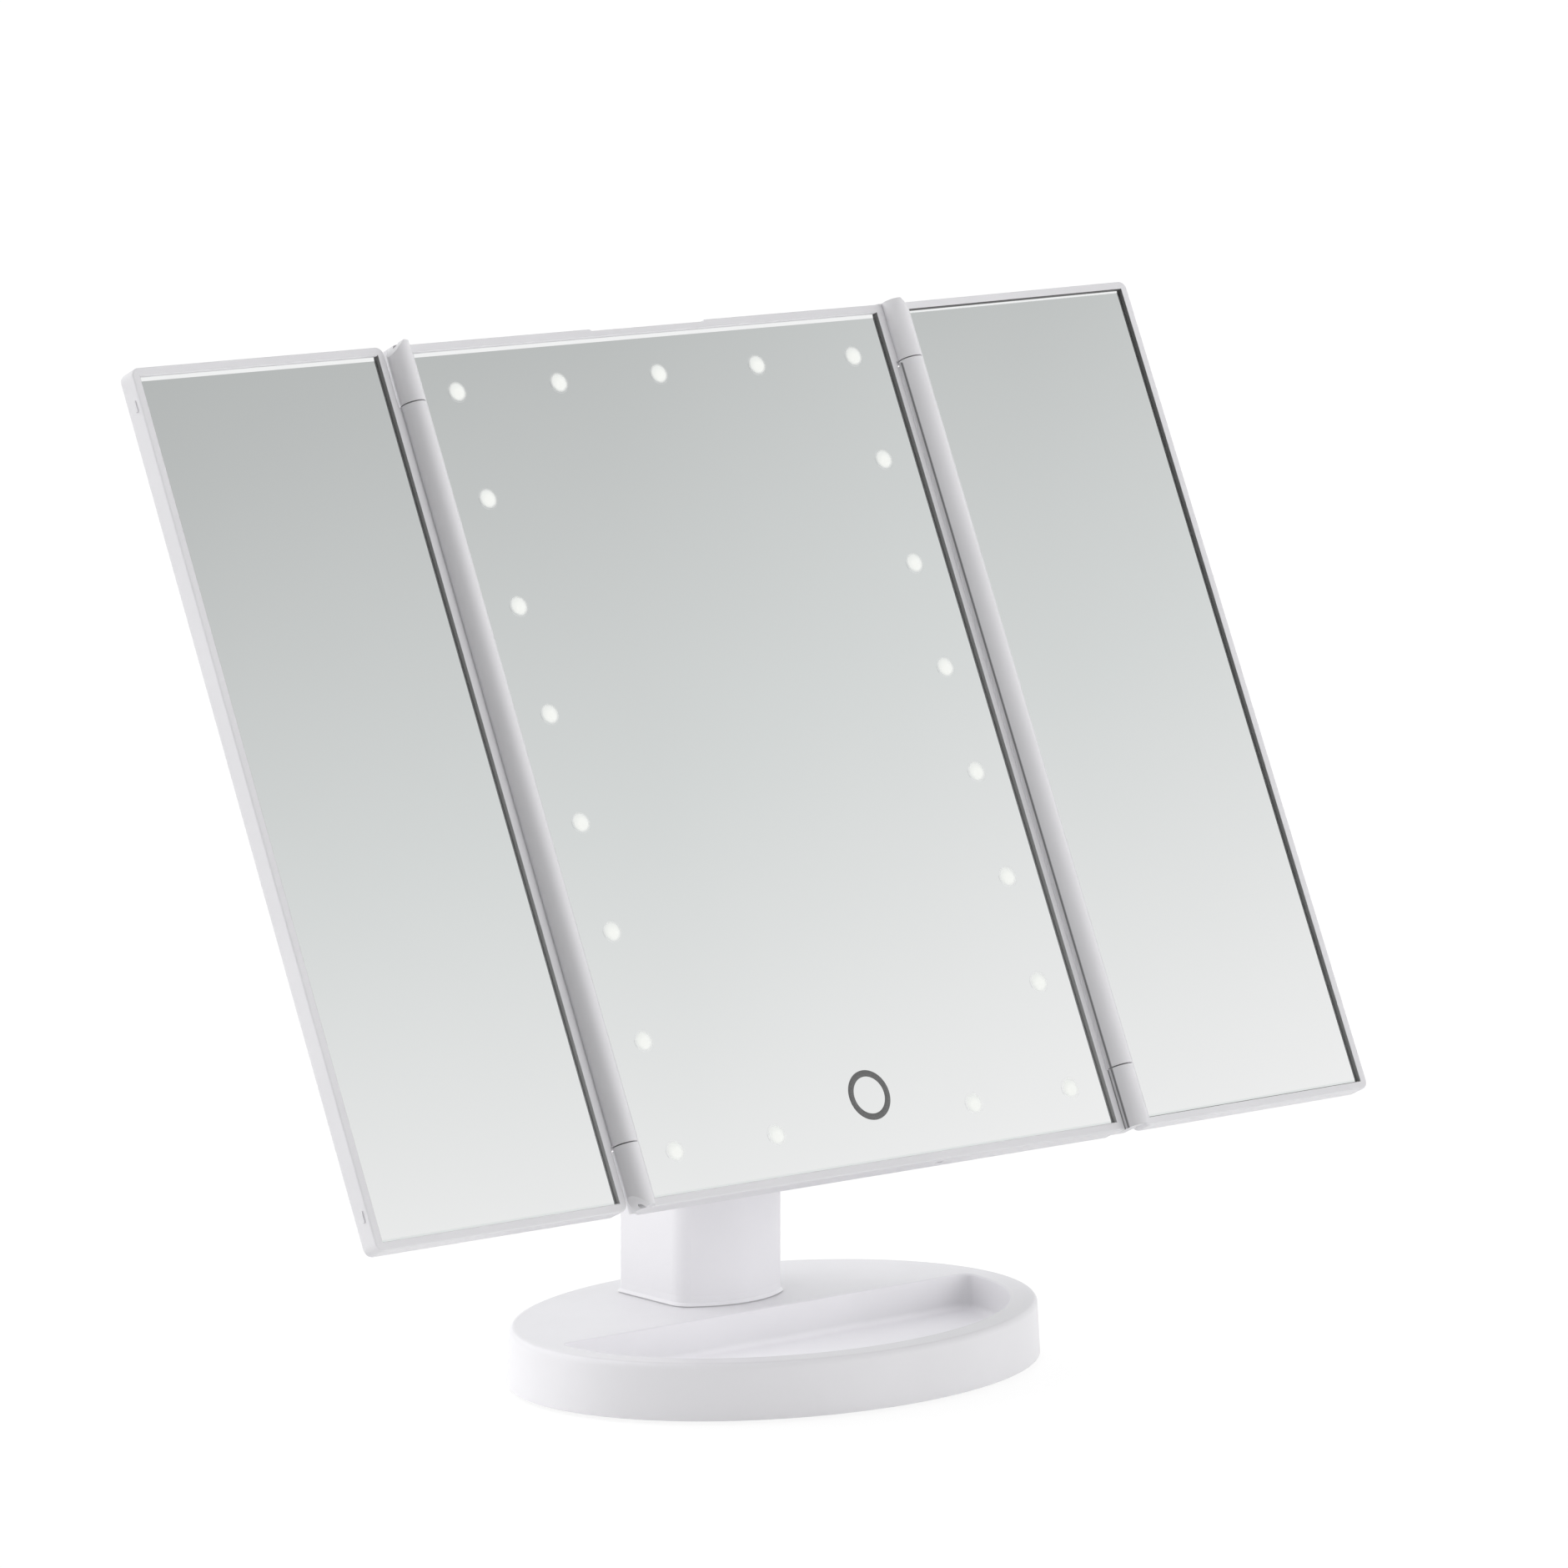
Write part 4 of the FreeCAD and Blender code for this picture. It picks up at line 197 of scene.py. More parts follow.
# ---- surfaces ----
def grid_quads(rows, columns, grids=1, wrap_rows=False, wrap_columns=False):
    """Corner numbers of the quads of some grids whose points are numbered row by row, grid after grid."""
    row = np.arange(rows if wrap_rows else rows - 1)
    column = np.arange(columns if wrap_columns else columns - 1)
    r, c = np.meshgrid(row, column, indexing="ij")
    r2 = (r + 1) % rows
    c2 = (c + 1) % columns
    quads = np.stack([r * columns + c, r * columns + c2, r2 * columns + c2, r2 * columns + c], axis=-1)
    quads = quads.reshape(-1, 4)
    starts = np.arange(grids) * rows * columns
    return (quads[None, :, :] + starts[:, None, None]).reshape(-1, 4)


def make_mesh(name, points, quads, uv=None, smooth=True):
    """A mesh from arrays of points and quads. Points in one place become one, and quads that close up go."""
    flat = points.reshape(-1, 3)
    cells = np.round(flat / WELD).astype(np.int64)
    _, first, number = np.unique(cells, axis=0, return_index=True, return_inverse=True)
    faces = number.reshape(-1)[quads]
    whole = (np.diff(np.sort(faces, axis=1), axis=1) != 0).sum(axis=1) >= 2
    corners = quads[whole]
    faces = faces[whole]
    kept = faces != np.roll(faces, -1, axis=1)
    sizes = kept.sum(axis=1)
    loops = faces[kept]
    mesh = bpy.data.meshes.new(name)
    mesh.vertices.add(len(first))
    mesh.vertices.foreach_set("co", flat[first].astype(np.float32).ravel())
    mesh.loops.add(len(loops))
    mesh.loops.foreach_set("vertex_index", loops.astype(np.int32))
    mesh.polygons.add(len(sizes))
    mesh.polygons.foreach_set("loop_start", np.concatenate([[0], np.cumsum(sizes)[:-1]]).astype(np.int32))
    mesh.polygons.foreach_set("use_smooth", np.full(len(sizes), smooth))
    if uv is not None:
        layer = mesh.uv_layers.new(name="UVMap")
        layer.data.foreach_set("uv", uv.reshape(-1, 2)[corners[kept]].astype(np.float32).ravel())
    mesh.update(calc_edges=True)
    mesh.validate()
    return mesh


def face_outwards(mesh):
    """Turns a closed mesh's faces outwards."""
    shell = bmesh.new()
    shell.from_mesh(mesh)
    bmesh.ops.recalc_face_normals(shell, faces=shell.faces)
    shell.to_mesh(mesh)
    shell.free()


def add_piece(name, mesh, finish, body):
    """A new piece of the object with its finish, riding on a body of the frame."""
    piece = bpy.data.objects.new(name, mesh)
    bpy.context.scene.collection.objects.link(piece)
    mesh.materials.append(material(finish))
    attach(piece, body)


def loop_strip(x0, x1, z0, z1, profile):
    """A strip carried round a rectangle of the head's plane.

    The path is the rectangle's four corners. The profile is a closed row of (inset, depth) pairs: at each
    corner a profile point lies its inset inside both edges, and its depth behind the rim's front plane.
    """
    corners = np.array([(x0, z0), (x1, z0), (x1, z1), (x0, z1)])
    inward = np.array([(1.0, 1.0), (-1.0, 1.0), (-1.0, -1.0), (1.0, -1.0)])
    inset, depth = np.asarray(profile).T
    x = corners[:, None, 0] + inward[:, None, 0] * inset[None, :]
    z = corners[:, None, 1] + inward[:, None, 1] * inset[None, :]
    y = np.broadcast_to(depth, x.shape)
    quads = grid_quads(4, len(inset), wrap_rows=True, wrap_columns=True)
    return np.stack([x, y, z], axis=-1), quads


def turned_discs(centres, radii, depths, segments):
    """Discs or rings turned about axes that stand on the head's plane.

    A profile of (radius, depth) is carried round a full turn at every centre: x = centre + radius cos(turn),
    z = centre + radius sin(turn), y = depth. The UV map holds the point's place over the largest radius.
    """
    turn = np.linspace(0.0, 2 * math.pi, segments, endpoint=False)
    radii = np.asarray(radii)
    across = radii[None, :, None] * np.cos(turn)[None, None, :]
    up = radii[None, :, None] * np.sin(turn)[None, None, :]
    centres = np.asarray(centres)
    x = centres[:, 0, None, None] + across
    z = centres[:, 1, None, None] + up
    y = np.broadcast_to(np.asarray(depths)[None, :, None], x.shape)
    uv = np.stack(np.broadcast_arrays(across / radii.max(), up / radii.max()), axis=-1)
    uv = np.broadcast_to(0.5 + 0.5 * uv, x.shape + (2,))
    quads = grid_quads(len(radii), segments, grids=len(centres), wrap_columns=True)
    return np.stack([x, y, z], axis=-1), quads, uv


# ---- shader nodes ----
def put(tree, socket, value):
    """Links a socket into an input, or sets the input to a number or colour."""
    if isinstance(value, bpy.types.NodeSocket):
        tree.links.new(value, socket)
    elif hasattr(value, "__len__") and len(value) == 3 and len(socket.default_value) == 4:
        socket.default_value = (*value, 1.0)
    else:
        socket.default_value = value


def put_all(tree, sockets, values):
    """Puts values into inputs by number or name. Spaces in names are written as underscores."""
    for label, value in values.items():
        put(tree, sockets[label.replace("_", " ") if isinstance(label, str) else label], value)


def noise(tree, coordinates, scale, detail=3.0, roughness=0.5):
    """A 3D noise texture. The scale is a number or a socket."""
    node = tree.nodes.new("ShaderNodeTexNoise")
    values = {"Vector": coordinates, "Scale": scale, "Detail": detail, "Roughness": roughness}
    put_all(tree, node.inputs, values)
    return node.outputs["Fac"]


def cell_distance(tree, coordinates, scale, metric="EUCLIDEAN"):
    """Distance from the nearest of many scattered points."""
    node = tree.nodes.new("ShaderNodeTexVoronoi")
    node.distance = metric
    put_all(tree, node.inputs, {"Vector": coordinates, "Scale": scale})
    return node.outputs["Distance"]


def blend_colour(tree, factor, first, second, mode="MIX"):
    """Mixes two colours by a factor."""
    node = tree.nodes.new("ShaderNodeMix")
    node.data_type = "RGBA"
    node.blend_type = mode
    put_all(tree, node.inputs, {0: factor, 6: first, 7: second})
    return node.outputs[2]


def mix_shaders(tree, factor, first, second):
    """Mixes two shaders by a factor."""
    node = tree.nodes.new("ShaderNodeMixShader")
    put_all(tree, node.inputs, {0: factor, 1: first, 2: second})
    return node.outputs[0]


def arithmetic(tree, operation, *values):
    """A maths node on one to three values."""
    node = tree.nodes.new("ShaderNodeMath")
    node.operation = operation
    put_all(tree, node.inputs, dict(enumerate(values)))
    return node.outputs[0]


def times(tree, first, second):
    """The product of two values."""
    return arithmetic(tree, "MULTIPLY", first, second)


def times_plus(tree, first, second, third):
    """The product of two values, plus a third."""
    return arithmetic(tree, "MULTIPLY_ADD", first, second, third)


def vector_maths(tree, operation, first, second):
    """A vector maths node on two vectors, or on a vector and a scale."""
    node = tree.nodes.new("ShaderNodeVectorMath")
    node.operation = operation
    put_all(tree, node.inputs, {0: first, ("Scale" if operation == "SCALE" else 1): second})
    return node.outputs["Value" if operation in {"DISTANCE", "DOT_PRODUCT"} else "Vector"]


def remap(tree, value, low, high, new_low=0.0, new_high=1.0, smooth=True):
    """Carries a range of values to another range, held at its ends."""
    node = tree.nodes.new("ShaderNodeMapRange")
    node.interpolation_type = "SMOOTHSTEP" if smooth else "LINEAR"
    put_all(tree, node.inputs, dict(enumerate((value, low, high, new_low, new_high))))
    return node.outputs[0]


def object_coordinates(tree):
    """The piece's own coordinates, in metres."""
    return tree.nodes.new("ShaderNodeTexCoord").outputs["Object"]


def parts_of(tree, vector):
    """The X, Y and Z of a vector, by name."""
    node = tree.nodes.new("ShaderNodeSeparateXYZ")
    tree.links.new(vector, node.inputs[0])
    return node.outputs


# ---- shader groups ----
SKIN_OUTPUTS = {"Colour": "NodeSocketColor", "Roughness": "NodeSocketFloat", "Height": "NodeSocketFloat"}


def new_group(name, inputs, outputs):
    """A shader node group. Returns its tree, what is put into it by name, and its outlets by name.

    Inputs are given by their defaults: a number, a vector of three or a colour of four.
    """
    tree = bpy.data.node_groups.new(name, "ShaderNodeTree")
    kinds = {1: "NodeSocketFloat", 3: "NodeSocketVector", 4: "NodeSocketColor"}
    for label, default in inputs.items():
        kind = kinds[np.size(default)]
        tree.interface.new_socket(name=label, in_out="INPUT", socket_type=kind).default_value = default
    for label, kind in outputs.items():
        tree.interface.new_socket(name=label, in_out="OUTPUT", socket_type=kind)
    return tree, tree.nodes.new("NodeGroupInput").outputs, tree.nodes.new("NodeGroupOutput").inputs


def moulded_group():
    """Moulded plastic: a slow drift of tone, fine spark-eroded grain, and gloss that varies a little."""
    tree, given, outlets = new_group(
        "moulded_plastic",
        {"Colour": (0.8, 0.8, 0.8, 1.0), "Shade": (0.75, 0.75, 0.75, 1.0), "Drift Scale": 25.0,
         "Grain Scale": 2500.0, "Roughness": 0.3, "Roughness Spread": 0.06},
        SKIN_OUTPUTS,
    )
    place = object_coordinates(tree)
    drift = noise(tree, place, given["Drift Scale"], detail=4.0)
    grain = noise(tree, place, given["Grain Scale"], detail=2.0)
    flow = noise(tree, place, scale=160.0, detail=5.0, roughness=0.6)
    swing = times(tree, arithmetic(tree, "SUBTRACT", flow, 0.5), given["Roughness Spread"])
    put_all(tree, outlets, {
        "Colour": blend_colour(tree, remap(tree, drift, 0.35, 0.65), given["Colour"], given["Shade"]),
        "Roughness": times_plus(tree, swing, 2.0, given["Roughness"]),
        "Height": times_plus(tree, flow, 0.35, grain),
    })
    return tree


def metal_group():
    """Drawn or turned metal: fine lines along one axis, cloudy zinc spangle, and duller patches."""
    tree, given, outlets = new_group(
        "worked_metal",
        {"Colour": (0.6, 0.6, 0.6, 1.0), "Dull Colour": (0.45, 0.45, 0.45, 1.0),
         "Line Stretch": (1.0, 1.0, 1.0), "Roughness": 0.3},
        SKIN_OUTPUTS,
    )
    place = object_coordinates(tree)
    lines = noise(tree, vector_maths(tree, "MULTIPLY", place, given["Line Stretch"]), scale=900.0, detail=4.0)
    cloud = noise(tree, place, scale=220.0)
    swing = arithmetic(tree, "SUBTRACT", cloud, 0.5)
    put_all(tree, outlets, {
        "Colour": blend_colour(tree, remap(tree, cloud, 0.4, 0.65), given["Colour"], given["Dull Colour"]),
        "Roughness": times_plus(tree, swing, 0.25, given["Roughness"]),
        "Height": lines,
    })
    return tree


def edge_group():
    """Worn or softened edges: how far a slightly rounded normal departs from the true one."""
    tree, given, outlets = new_group(
        "edge_softness", {"Radius": 0.0003, "Strength": 1.0}, {"Mask": "NodeSocketFloat"}
    )
    rounded = tree.nodes.new("ShaderNodeBevel")
    rounded.samples = 4
    tree.links.new(given["Radius"], rounded.inputs["Radius"])
    true_normal = tree.nodes.new("ShaderNodeNewGeometry").outputs["Normal"]
    agreement = vector_maths(tree, "DOT_PRODUCT", rounded.outputs["Normal"], true_normal)
    tree.links.new(times(tree, remap(tree, agreement, 0.995, 0.8), given["Strength"]), outlets["Mask"])
    return tree


GROUPS = {}


def place_group(tree, name, **values):
    """Puts a shared group into a material with its own values."""
    makers = {"moulded_plastic": moulded_group, "worked_metal": metal_group, "edge_softness": edge_group}
    if name not in GROUPS:
        GROUPS[name] = makers[name]()
    node = tree.nodes.new("ShaderNodeGroup")
    node.node_tree = GROUPS[name]
    put_all(tree, node.inputs, values)
    return node.outputs


# ---- materials ----
def new_material(name, **values):
    """A material with one Principled BSDF. Returns the material, its tree and the shader's inputs."""
    made = bpy.data.materials.new(name)
    made.use_nodes = True
    tree = made.node_tree
    inputs = tree.nodes["Principled BSDF"].inputs
    put_all(tree, inputs, values)
    return made, tree, inputs


def cover(tree, inputs, face, roughness, height, depth):
    """Feeds a skin into the shader: colour, roughness, and a height that reaches the depth in metres."""
    node = tree.nodes.new("ShaderNodeBump")
    put_all(tree, node.inputs, {"Height": height, "Distance": depth})
    put_all(tree, inputs, {"Base Color": face, "Roughness": roughness, "Normal": node.outputs["Normal"]})


def plastic_material(name, tone, shade, roughness, spread, grain, depth, drift=25.0, gloss=0.35, **values):
    """Moulded plastic that drifts between a tone and a shade of it."""
    made, tree, inputs = new_material(name, IOR=1.5, Specular_IOR_Level=gloss, **values)
    skin = place_group(tree, "moulded_plastic", Colour=tone, Shade=shade, Drift_Scale=drift,
                       Grain_Scale=grain, Roughness=roughness, Roughness_Spread=spread)
    cover(tree, inputs, skin["Colour"], skin["Roughness"], skin["Height"], depth)
    return made


def plastic_of_tone(name, tone, share, **values):
    """Plastic of one of the set colours. Its shade is a share of that colour."""
    chosen = getattr(bpy.context.scene.trifold_plastic, tone)
    return plastic_material(name, chosen, [value * share for value in chosen], **values)


def inner_plastic():
    """Satin white plastic of the hidden mouldings."""
    return plastic_of_tone("inner_plastic", "inner", 0.94, roughness=0.5, spread=0.08, grain=1400.0,
                           depth=0.000015)


def knob_plastic():
    """Dark satin plastic of the slide switch."""
    return plastic_of_tone("switch_knob", "knob", 0.8, roughness=0.45, spread=0.1, grain=1800.0,
                           depth=0.00002, drift=200.0)


def diffuser_plastic():
    """Milky plastic that spreads the light of each lamp."""
    return plastic_of_tone("diffuser", "diffuser", 0.97, roughness=0.55, spread=0.05, grain=3000.0,
                           depth=0.00001, drift=300.0, gloss=0.5, Subsurface_Weight=0.25,
                           Subsurface_Scale=0.001)


def rubber():
    """Dark grey rubber, matt, with a pitted skin and pale dust."""
    return plastic_of_tone("rubber", "rubber", 1.5, roughness=0.8, spread=0.1, grain=1500.0, depth=0.00004,
                           drift=350.0)


def shell_plastic(name):
    """Glossy white plastic of the shells."""
    tones = bpy.context.scene.trifold_plastic
    return plastic_material(name, tones.white, tones.white_shade, roughness=0.34, spread=0.05, grain=2600.0,
                            depth=0.000006)


def shaded_plastic(name):
    """The shells' white, with the material's tree, the coordinates and their parts to paint shade and light
    into it by.
    """
    made = shell_plastic(name)
    place = object_coordinates(made.node_tree)
    return made, made.node_tree, place, parts_of(made.node_tree, place)


def scale_colour(tree, shade):
    """Multiplies the base colour by a factor of painted shade and painted light."""
    inlet = tree.nodes["Principled BSDF"].inputs["Base Color"]
    tree.links.new(vector_maths(tree, "SCALE", inlet.links[0].from_socket, shade), inlet)


def base_plastic():
    """White of the base, with painted shade deepening its flat rim and painted light lightening the floor of
    the tray.
    """
    tones = bpy.context.scene.trifold_plastic
    made, tree, place, axes = shaded_plastic("base_plastic")
    # Painted shade on the flat rim and painted light on the tray's floor, as changes of the white.
    rim_painted_shade = -0.08
    floor_painted_light = 0.17
    rim = remap(tree, axes["Z"], tones.rim_height - 0.4 * MM, tones.rim_height - 0.05 * MM)
    low = remap(tree, axes["Z"], tones.tray_height + 0.3 * MM, tones.tray_height + 2.0 * MM, 1.0, 0.0)
    oval = vector_maths(tree, "MULTIPLY", place, (1.0 / tones.oval_half[0], 1.0 / tones.oval_half[1], 0.0))
    inside = remap(tree, vector_maths(tree, "DISTANCE", oval, (0.0, 0.0, 0.0)), 0.9, 0.95, 1.0, 0.0)
    shade = times_plus(tree, rim, rim_painted_shade, 1.0)
    scale_colour(tree, times_plus(tree, times(tree, low, inside), floor_painted_light, shade))
    return made


def head_plastic():
    """White of the head with painted shade: a touch deeper; darker where the barrels turn away, and darkest in
    the slits.

    The slits are painted shadow on both sides of the right barrel and run down from the parting of the top
    knuckle, where the barrel turns free of the frame. They and the left barrel's painted shade end a little
    behind the rim.
    """
    sizes = bpy.context.scene.trifold_head
    made, tree, place, axes = shaded_plastic("head_plastic")
    hinge = sizes.hinge_x
    # Painted shade: the whole head's white is made a touch deeper.
    plain = 0.93
    slit_painted_shadow = -0.72

    def across(middle, start, end, *values):
        """A change along X between two distances, in mm, from a hinge."""
        return remap(tree, axes["X"], middle + start * MM, middle + end * MM, *values)

    toward_back = (0.0, math.cos(sizes.lean), -math.sin(sizes.lean))
    depth = vector_maths(tree, "DOT_PRODUCT", place, toward_back)
    rim = sizes.axis_y * math.cos(sizes.lean) - sizes.axis_z * math.sin(sizes.lean) - sizes.face_to_axis
    ahead = remap(tree, depth, rim + 1.5 * MM, rim + 2.5 * MM, 1.0, 0.0)
    inward = remap(tree, depth, rim - 0.9 * MM, rim - 0.5 * MM)
    parting = float(head_points(np.array([[hinge, 0.0, sizes.parting]]))[0, 2])
    below = times(tree, remap(tree, axes["Z"], parting - 0.3 * MM, parting, 1.0, 0.0), ahead)

    # Painted shade on the right barrel, darkest on its left side, which turns away from the light.
    right_barrel_painted_shade = arithmetic(tree, "SUBTRACT", across(hinge, -2.0, 2.6, 0.88, 0.97), plain)
    shade = times_plus(tree, right_barrel_painted_shade, across(hinge, -3.6, -3.2), plain)
    # Painted shadow in the slits on both sides of the right barrel.
    far_slit = times(tree, across(hinge, 3.1, 3.2), across(hinge, 3.75, 3.85, 1.0, 0.0))
    slits = times_plus(tree, across(hinge, -3.79, -3.71), across(hinge, -3.39, -3.34, 1.0, 0.0),
                       times(tree, far_slit, inward))
    dark = times_plus(tree, times(tree, slits, below), slit_painted_shadow, 1.0)
    # Painted shade on the left part of the left barrel, which turns away from the light.
    left_barrel_painted_shade = times(tree, across(-hinge, -2.6, 1.4, -0.22, 0.0), across(-hinge, -3.8, -3.5))
    dark = times_plus(tree, dark, times(tree, left_barrel_painted_shade, ahead), dark)
    scale_colour(tree, times(tree, shade, dark))
    return made


def mirror_glass():
    """Silvered glass: almost even, with a faint haze of handling in its polish."""
    made, tree, inputs = new_material("mirror_glass", Metallic=1.0)
    silver = bpy.context.scene.trifold_glass.silver
    place = object_coordinates(tree)
    haze = noise(tree, place, scale=14.0, detail=5.0, roughness=0.55)
    fine = noise(tree, place, scale=420.0, detail=2.0)
    polish = times_plus(tree, remap(tree, haze, 0.35, 0.75), 0.012, 0.012)
    put_all(tree, inputs, {
        "Base Color": blend_colour(tree, remap(tree, haze, 0.3, 0.7), silver, [v * 0.992 for v in silver]),
        "Roughness": times_plus(tree, fine, 0.006, polish),
    })
    return made


def glass_edge(name, tone):
    """Ground edge of the glass: grey that is partly painted shade of the recess wall round the glass, with
    faint streaks along the cut, and darker towards the top as painted shade.
    """
    made, tree, inputs = new_material(name)
    tone = getattr(bpy.context.scene.trifold_glass, tone)
    place = object_coordinates(tree)
    streak = noise(tree, place, scale=120.0, detail=4.0, roughness=0.55)
    # Painted shade: the band is lighter low down and darker towards the top.
    height = remap(tree, parts_of(tree, place)["Z"], 0.06, 0.27, smooth=False)
    low = blend_colour(tree, streak, [v * 1.12 for v in tone], [v * 1.3 for v in tone])
    high = blend_colour(tree, streak, [v * 0.55 for v in tone], [v * 0.65 for v in tone])
    cover(tree, inputs, blend_colour(tree, height, low, high), remap(tree, streak, 0.3, 0.7, 0.45, 0.6),
          height=streak, depth=0.00001)
    return made


def light_window():
    """Frosted window: pale and glowing with its lamp, brightest in a painted highlight low and to the right,
    and melting into the silver at its rim.

    The UV map gives the place in the disc. Towards the rim the coating closes in and turns it to mirror.
    """
    made, tree, inputs = new_material("light_window", Emission_Strength=0.58)
    tones = bpy.context.scene.trifold_glass
    unlit_share = 0.45
    uv = tree.nodes.new("ShaderNodeTexCoord").outputs["UV"]
    middle = vector_maths(tree, "DISTANCE", uv, (0.5, 0.5, 0.0))
    lamp = vector_maths(tree, "DISTANCE", uv, (0.56, 0.42, 0.0))
    frost = noise(tree, object_coordinates(tree), scale=2200.0)
    # Painted highlight: the brighter spot lies low and to the right of the middle, and glows with the rest of
    # the window.
    core = remap(tree, lamp, 0.14, 0.44, 1.0, 0.0)
    closed = remap(tree, times_plus(tree, frost, 0.02, middle), 0.31, 0.50)
    face = blend_colour(tree, core, tones.window, tones.window_glow_and_painted_light)
    face = blend_colour(tree, times(tree, frost, 0.04), face, [v * 0.8 for v in tones.window])
    skin = blend_colour(tree, 1.0, face, [unlit_share] * 3, mode="MULTIPLY")
    rough = remap(tree, frost, 0.3, 0.7, 0.4, 0.6)
    put_all(tree, inputs, {
        "Base Color": blend_colour(tree, closed, skin, tones.silver),
        "Metallic": closed,
        "Emission Color": blend_colour(tree, closed, face, (0.0, 0.0, 0.0)),
        "Roughness": remap(tree, closed, 0.0, 0.3, rough, 0.02, smooth=False),
    })
    return made


def touch_print():
    """Dark grey ink of the touch ring, slightly uneven as screen print is."""
    made, tree, inputs = new_material("touch_print")
    ink = bpy.context.scene.trifold_glass.ring
    dots = noise(tree, object_coordinates(tree), scale=2400.0)
    face = blend_colour(tree, remap(tree, dots, 0.35, 0.65), ink, [v * 1.2 for v in ink])
    cover(tree, inputs, face, remap(tree, dots, 0.3, 0.7, 0.35, 0.5), height=dots, depth=0.000004)
    return made


def steel():
    """Zinc-plated or drawn steel, brighter along worn edges."""
    made, tree, inputs = new_material("steel", Metallic=1.0)
    tone = (0.62, 0.62, 0.61)
    skin = place_group(tree, "worked_metal", Colour=tone, Dull_Colour=(0.46, 0.46, 0.46),
                       Line_Stretch=(1.0, 1.0, 8.0), Roughness=0.32)
    wear = place_group(tree, "edge_softness", Radius=0.00015, Strength=0.8)
    face = blend_colour(tree, wear["Mask"], skin["Colour"], [v * 1.3 for v in tone])
    cover(tree, inputs, face, skin["Roughness"], skin["Height"], depth=0.000008)
    return made


def board_material(name, mask_colour, copper_colour, track_scale):
    """A printed circuit: solder mask over square-cornered tracks, with bare pads where two patterns meet."""
    made, tree, inputs = new_material(name)
    place = object_coordinates(tree)
    distance = cell_distance(tree, place, track_scale, metric="CHEBYCHEV")
    tracks = remap(tree, distance, 0.42, 0.46)
    pads = remap(tree, distance, 0.12, 0.09)
    weave = noise(tree, place, scale=1800.0, detail=2.0)
    face = blend_colour(tree, tracks, mask_colour, [v * 1.25 for v in mask_colour])
    face = blend_colour(tree, times(tree, weave, 0.25), face, [v * 0.75 for v in mask_colour])
    face = blend_colour(tree, pads, face, copper_colour)
    cover(tree, inputs, face, remap(tree, weave, 0.3, 0.7, 0.25, 0.4),
          height=arithmetic(tree, "ADD", tracks, pads), depth=0.00003)
    tree.links.new(pads, inputs["Metallic"])
    return made


def led_material():
    """Surface-mounted lamp: speckled yellow phosphor."""
    made, tree, inputs = new_material("led")
    speck = noise(tree, object_coordinates(tree), scale=3000.0, detail=2.0)
    face = blend_colour(tree, remap(tree, speck, 0.4, 0.6), (0.82, 0.66, 0.22), (0.88, 0.78, 0.40))
    cover(tree, inputs, face, remap(tree, speck, 0.3, 0.7, 0.3, 0.5), height=speck, depth=0.00001)
    return made


def foam_tape():
    """Dark foam tape with an open, pitted cut."""
    made, tree, inputs = new_material("tape")
    pits = cell_distance(tree, object_coordinates(tree), scale=2200.0)
    face = blend_colour(tree, pits, (0.03, 0.03, 0.032), (0.075, 0.075, 0.08))
    cover(tree, inputs, face, remap(tree, pits, 0.0, 0.8, 0.95, 0.75), height=pits, depth=0.00006)
    return made


def lead_insulation():
    """Insulated leads in pairs: the one on the left is black and the one on the right red."""
    made, tree, inputs = new_material("lead_insulation")
    place = object_coordinates(tree)
    side = remap(tree, parts_of(tree, place)["X"], -0.1 * MM, 0.1 * MM)
    ripple = noise(tree, place, scale=900.0)
    face = blend_colour(tree, side, (0.02, 0.02, 0.022), (0.55, 0.03, 0.025))
    face = blend_colour(tree, times(tree, ripple, 0.3), face, (0.12, 0.08, 0.08))
    cover(tree, inputs, face, remap(tree, ripple, 0.3, 0.7, 0.35, 0.5), height=ripple, depth=0.00002)
    return made


def cell_jacket():
    """Plain battery jacket: dark blue-grey film over the can, with a pale band at the top of each row."""
    made, tree, inputs = new_material("cell_jacket", Metallic=0.3)
    place = object_coordinates(tree)
    film = noise(tree, place, scale=500.0)
    height = parts_of(tree, place)["Z"]
    band = 14.0 * MM
    margin = 3.2 * MM
    blur = 0.2 * MM
    pale = 0.0
    for row in ("lower", "upper"):
        corners = [*NODES[f"cell_{row}_left"].bound_box, *NODES[f"cell_{row}_right"].bound_box]
        top = max(corner[2] for corner in corners)
        starts = remap(tree, height, top - band - blur, top - band + blur)
        ends = remap(tree, height, top + margin - blur, top + margin + blur, 1.0, 0.0)
        pale = times_plus(tree, starts, ends, pale)
    face = blend_colour(tree, pale, (0.05, 0.07, 0.11), (0.30, 0.33, 0.36))
    face = blend_colour(tree, times(tree, film, 0.2), face, (0.5, 0.5, 0.5))
    cover(tree, inputs, face, remap(tree, film, 0.3, 0.7, 0.25, 0.4), height=film, depth=0.00001)
    return made


MATERIALS = {}


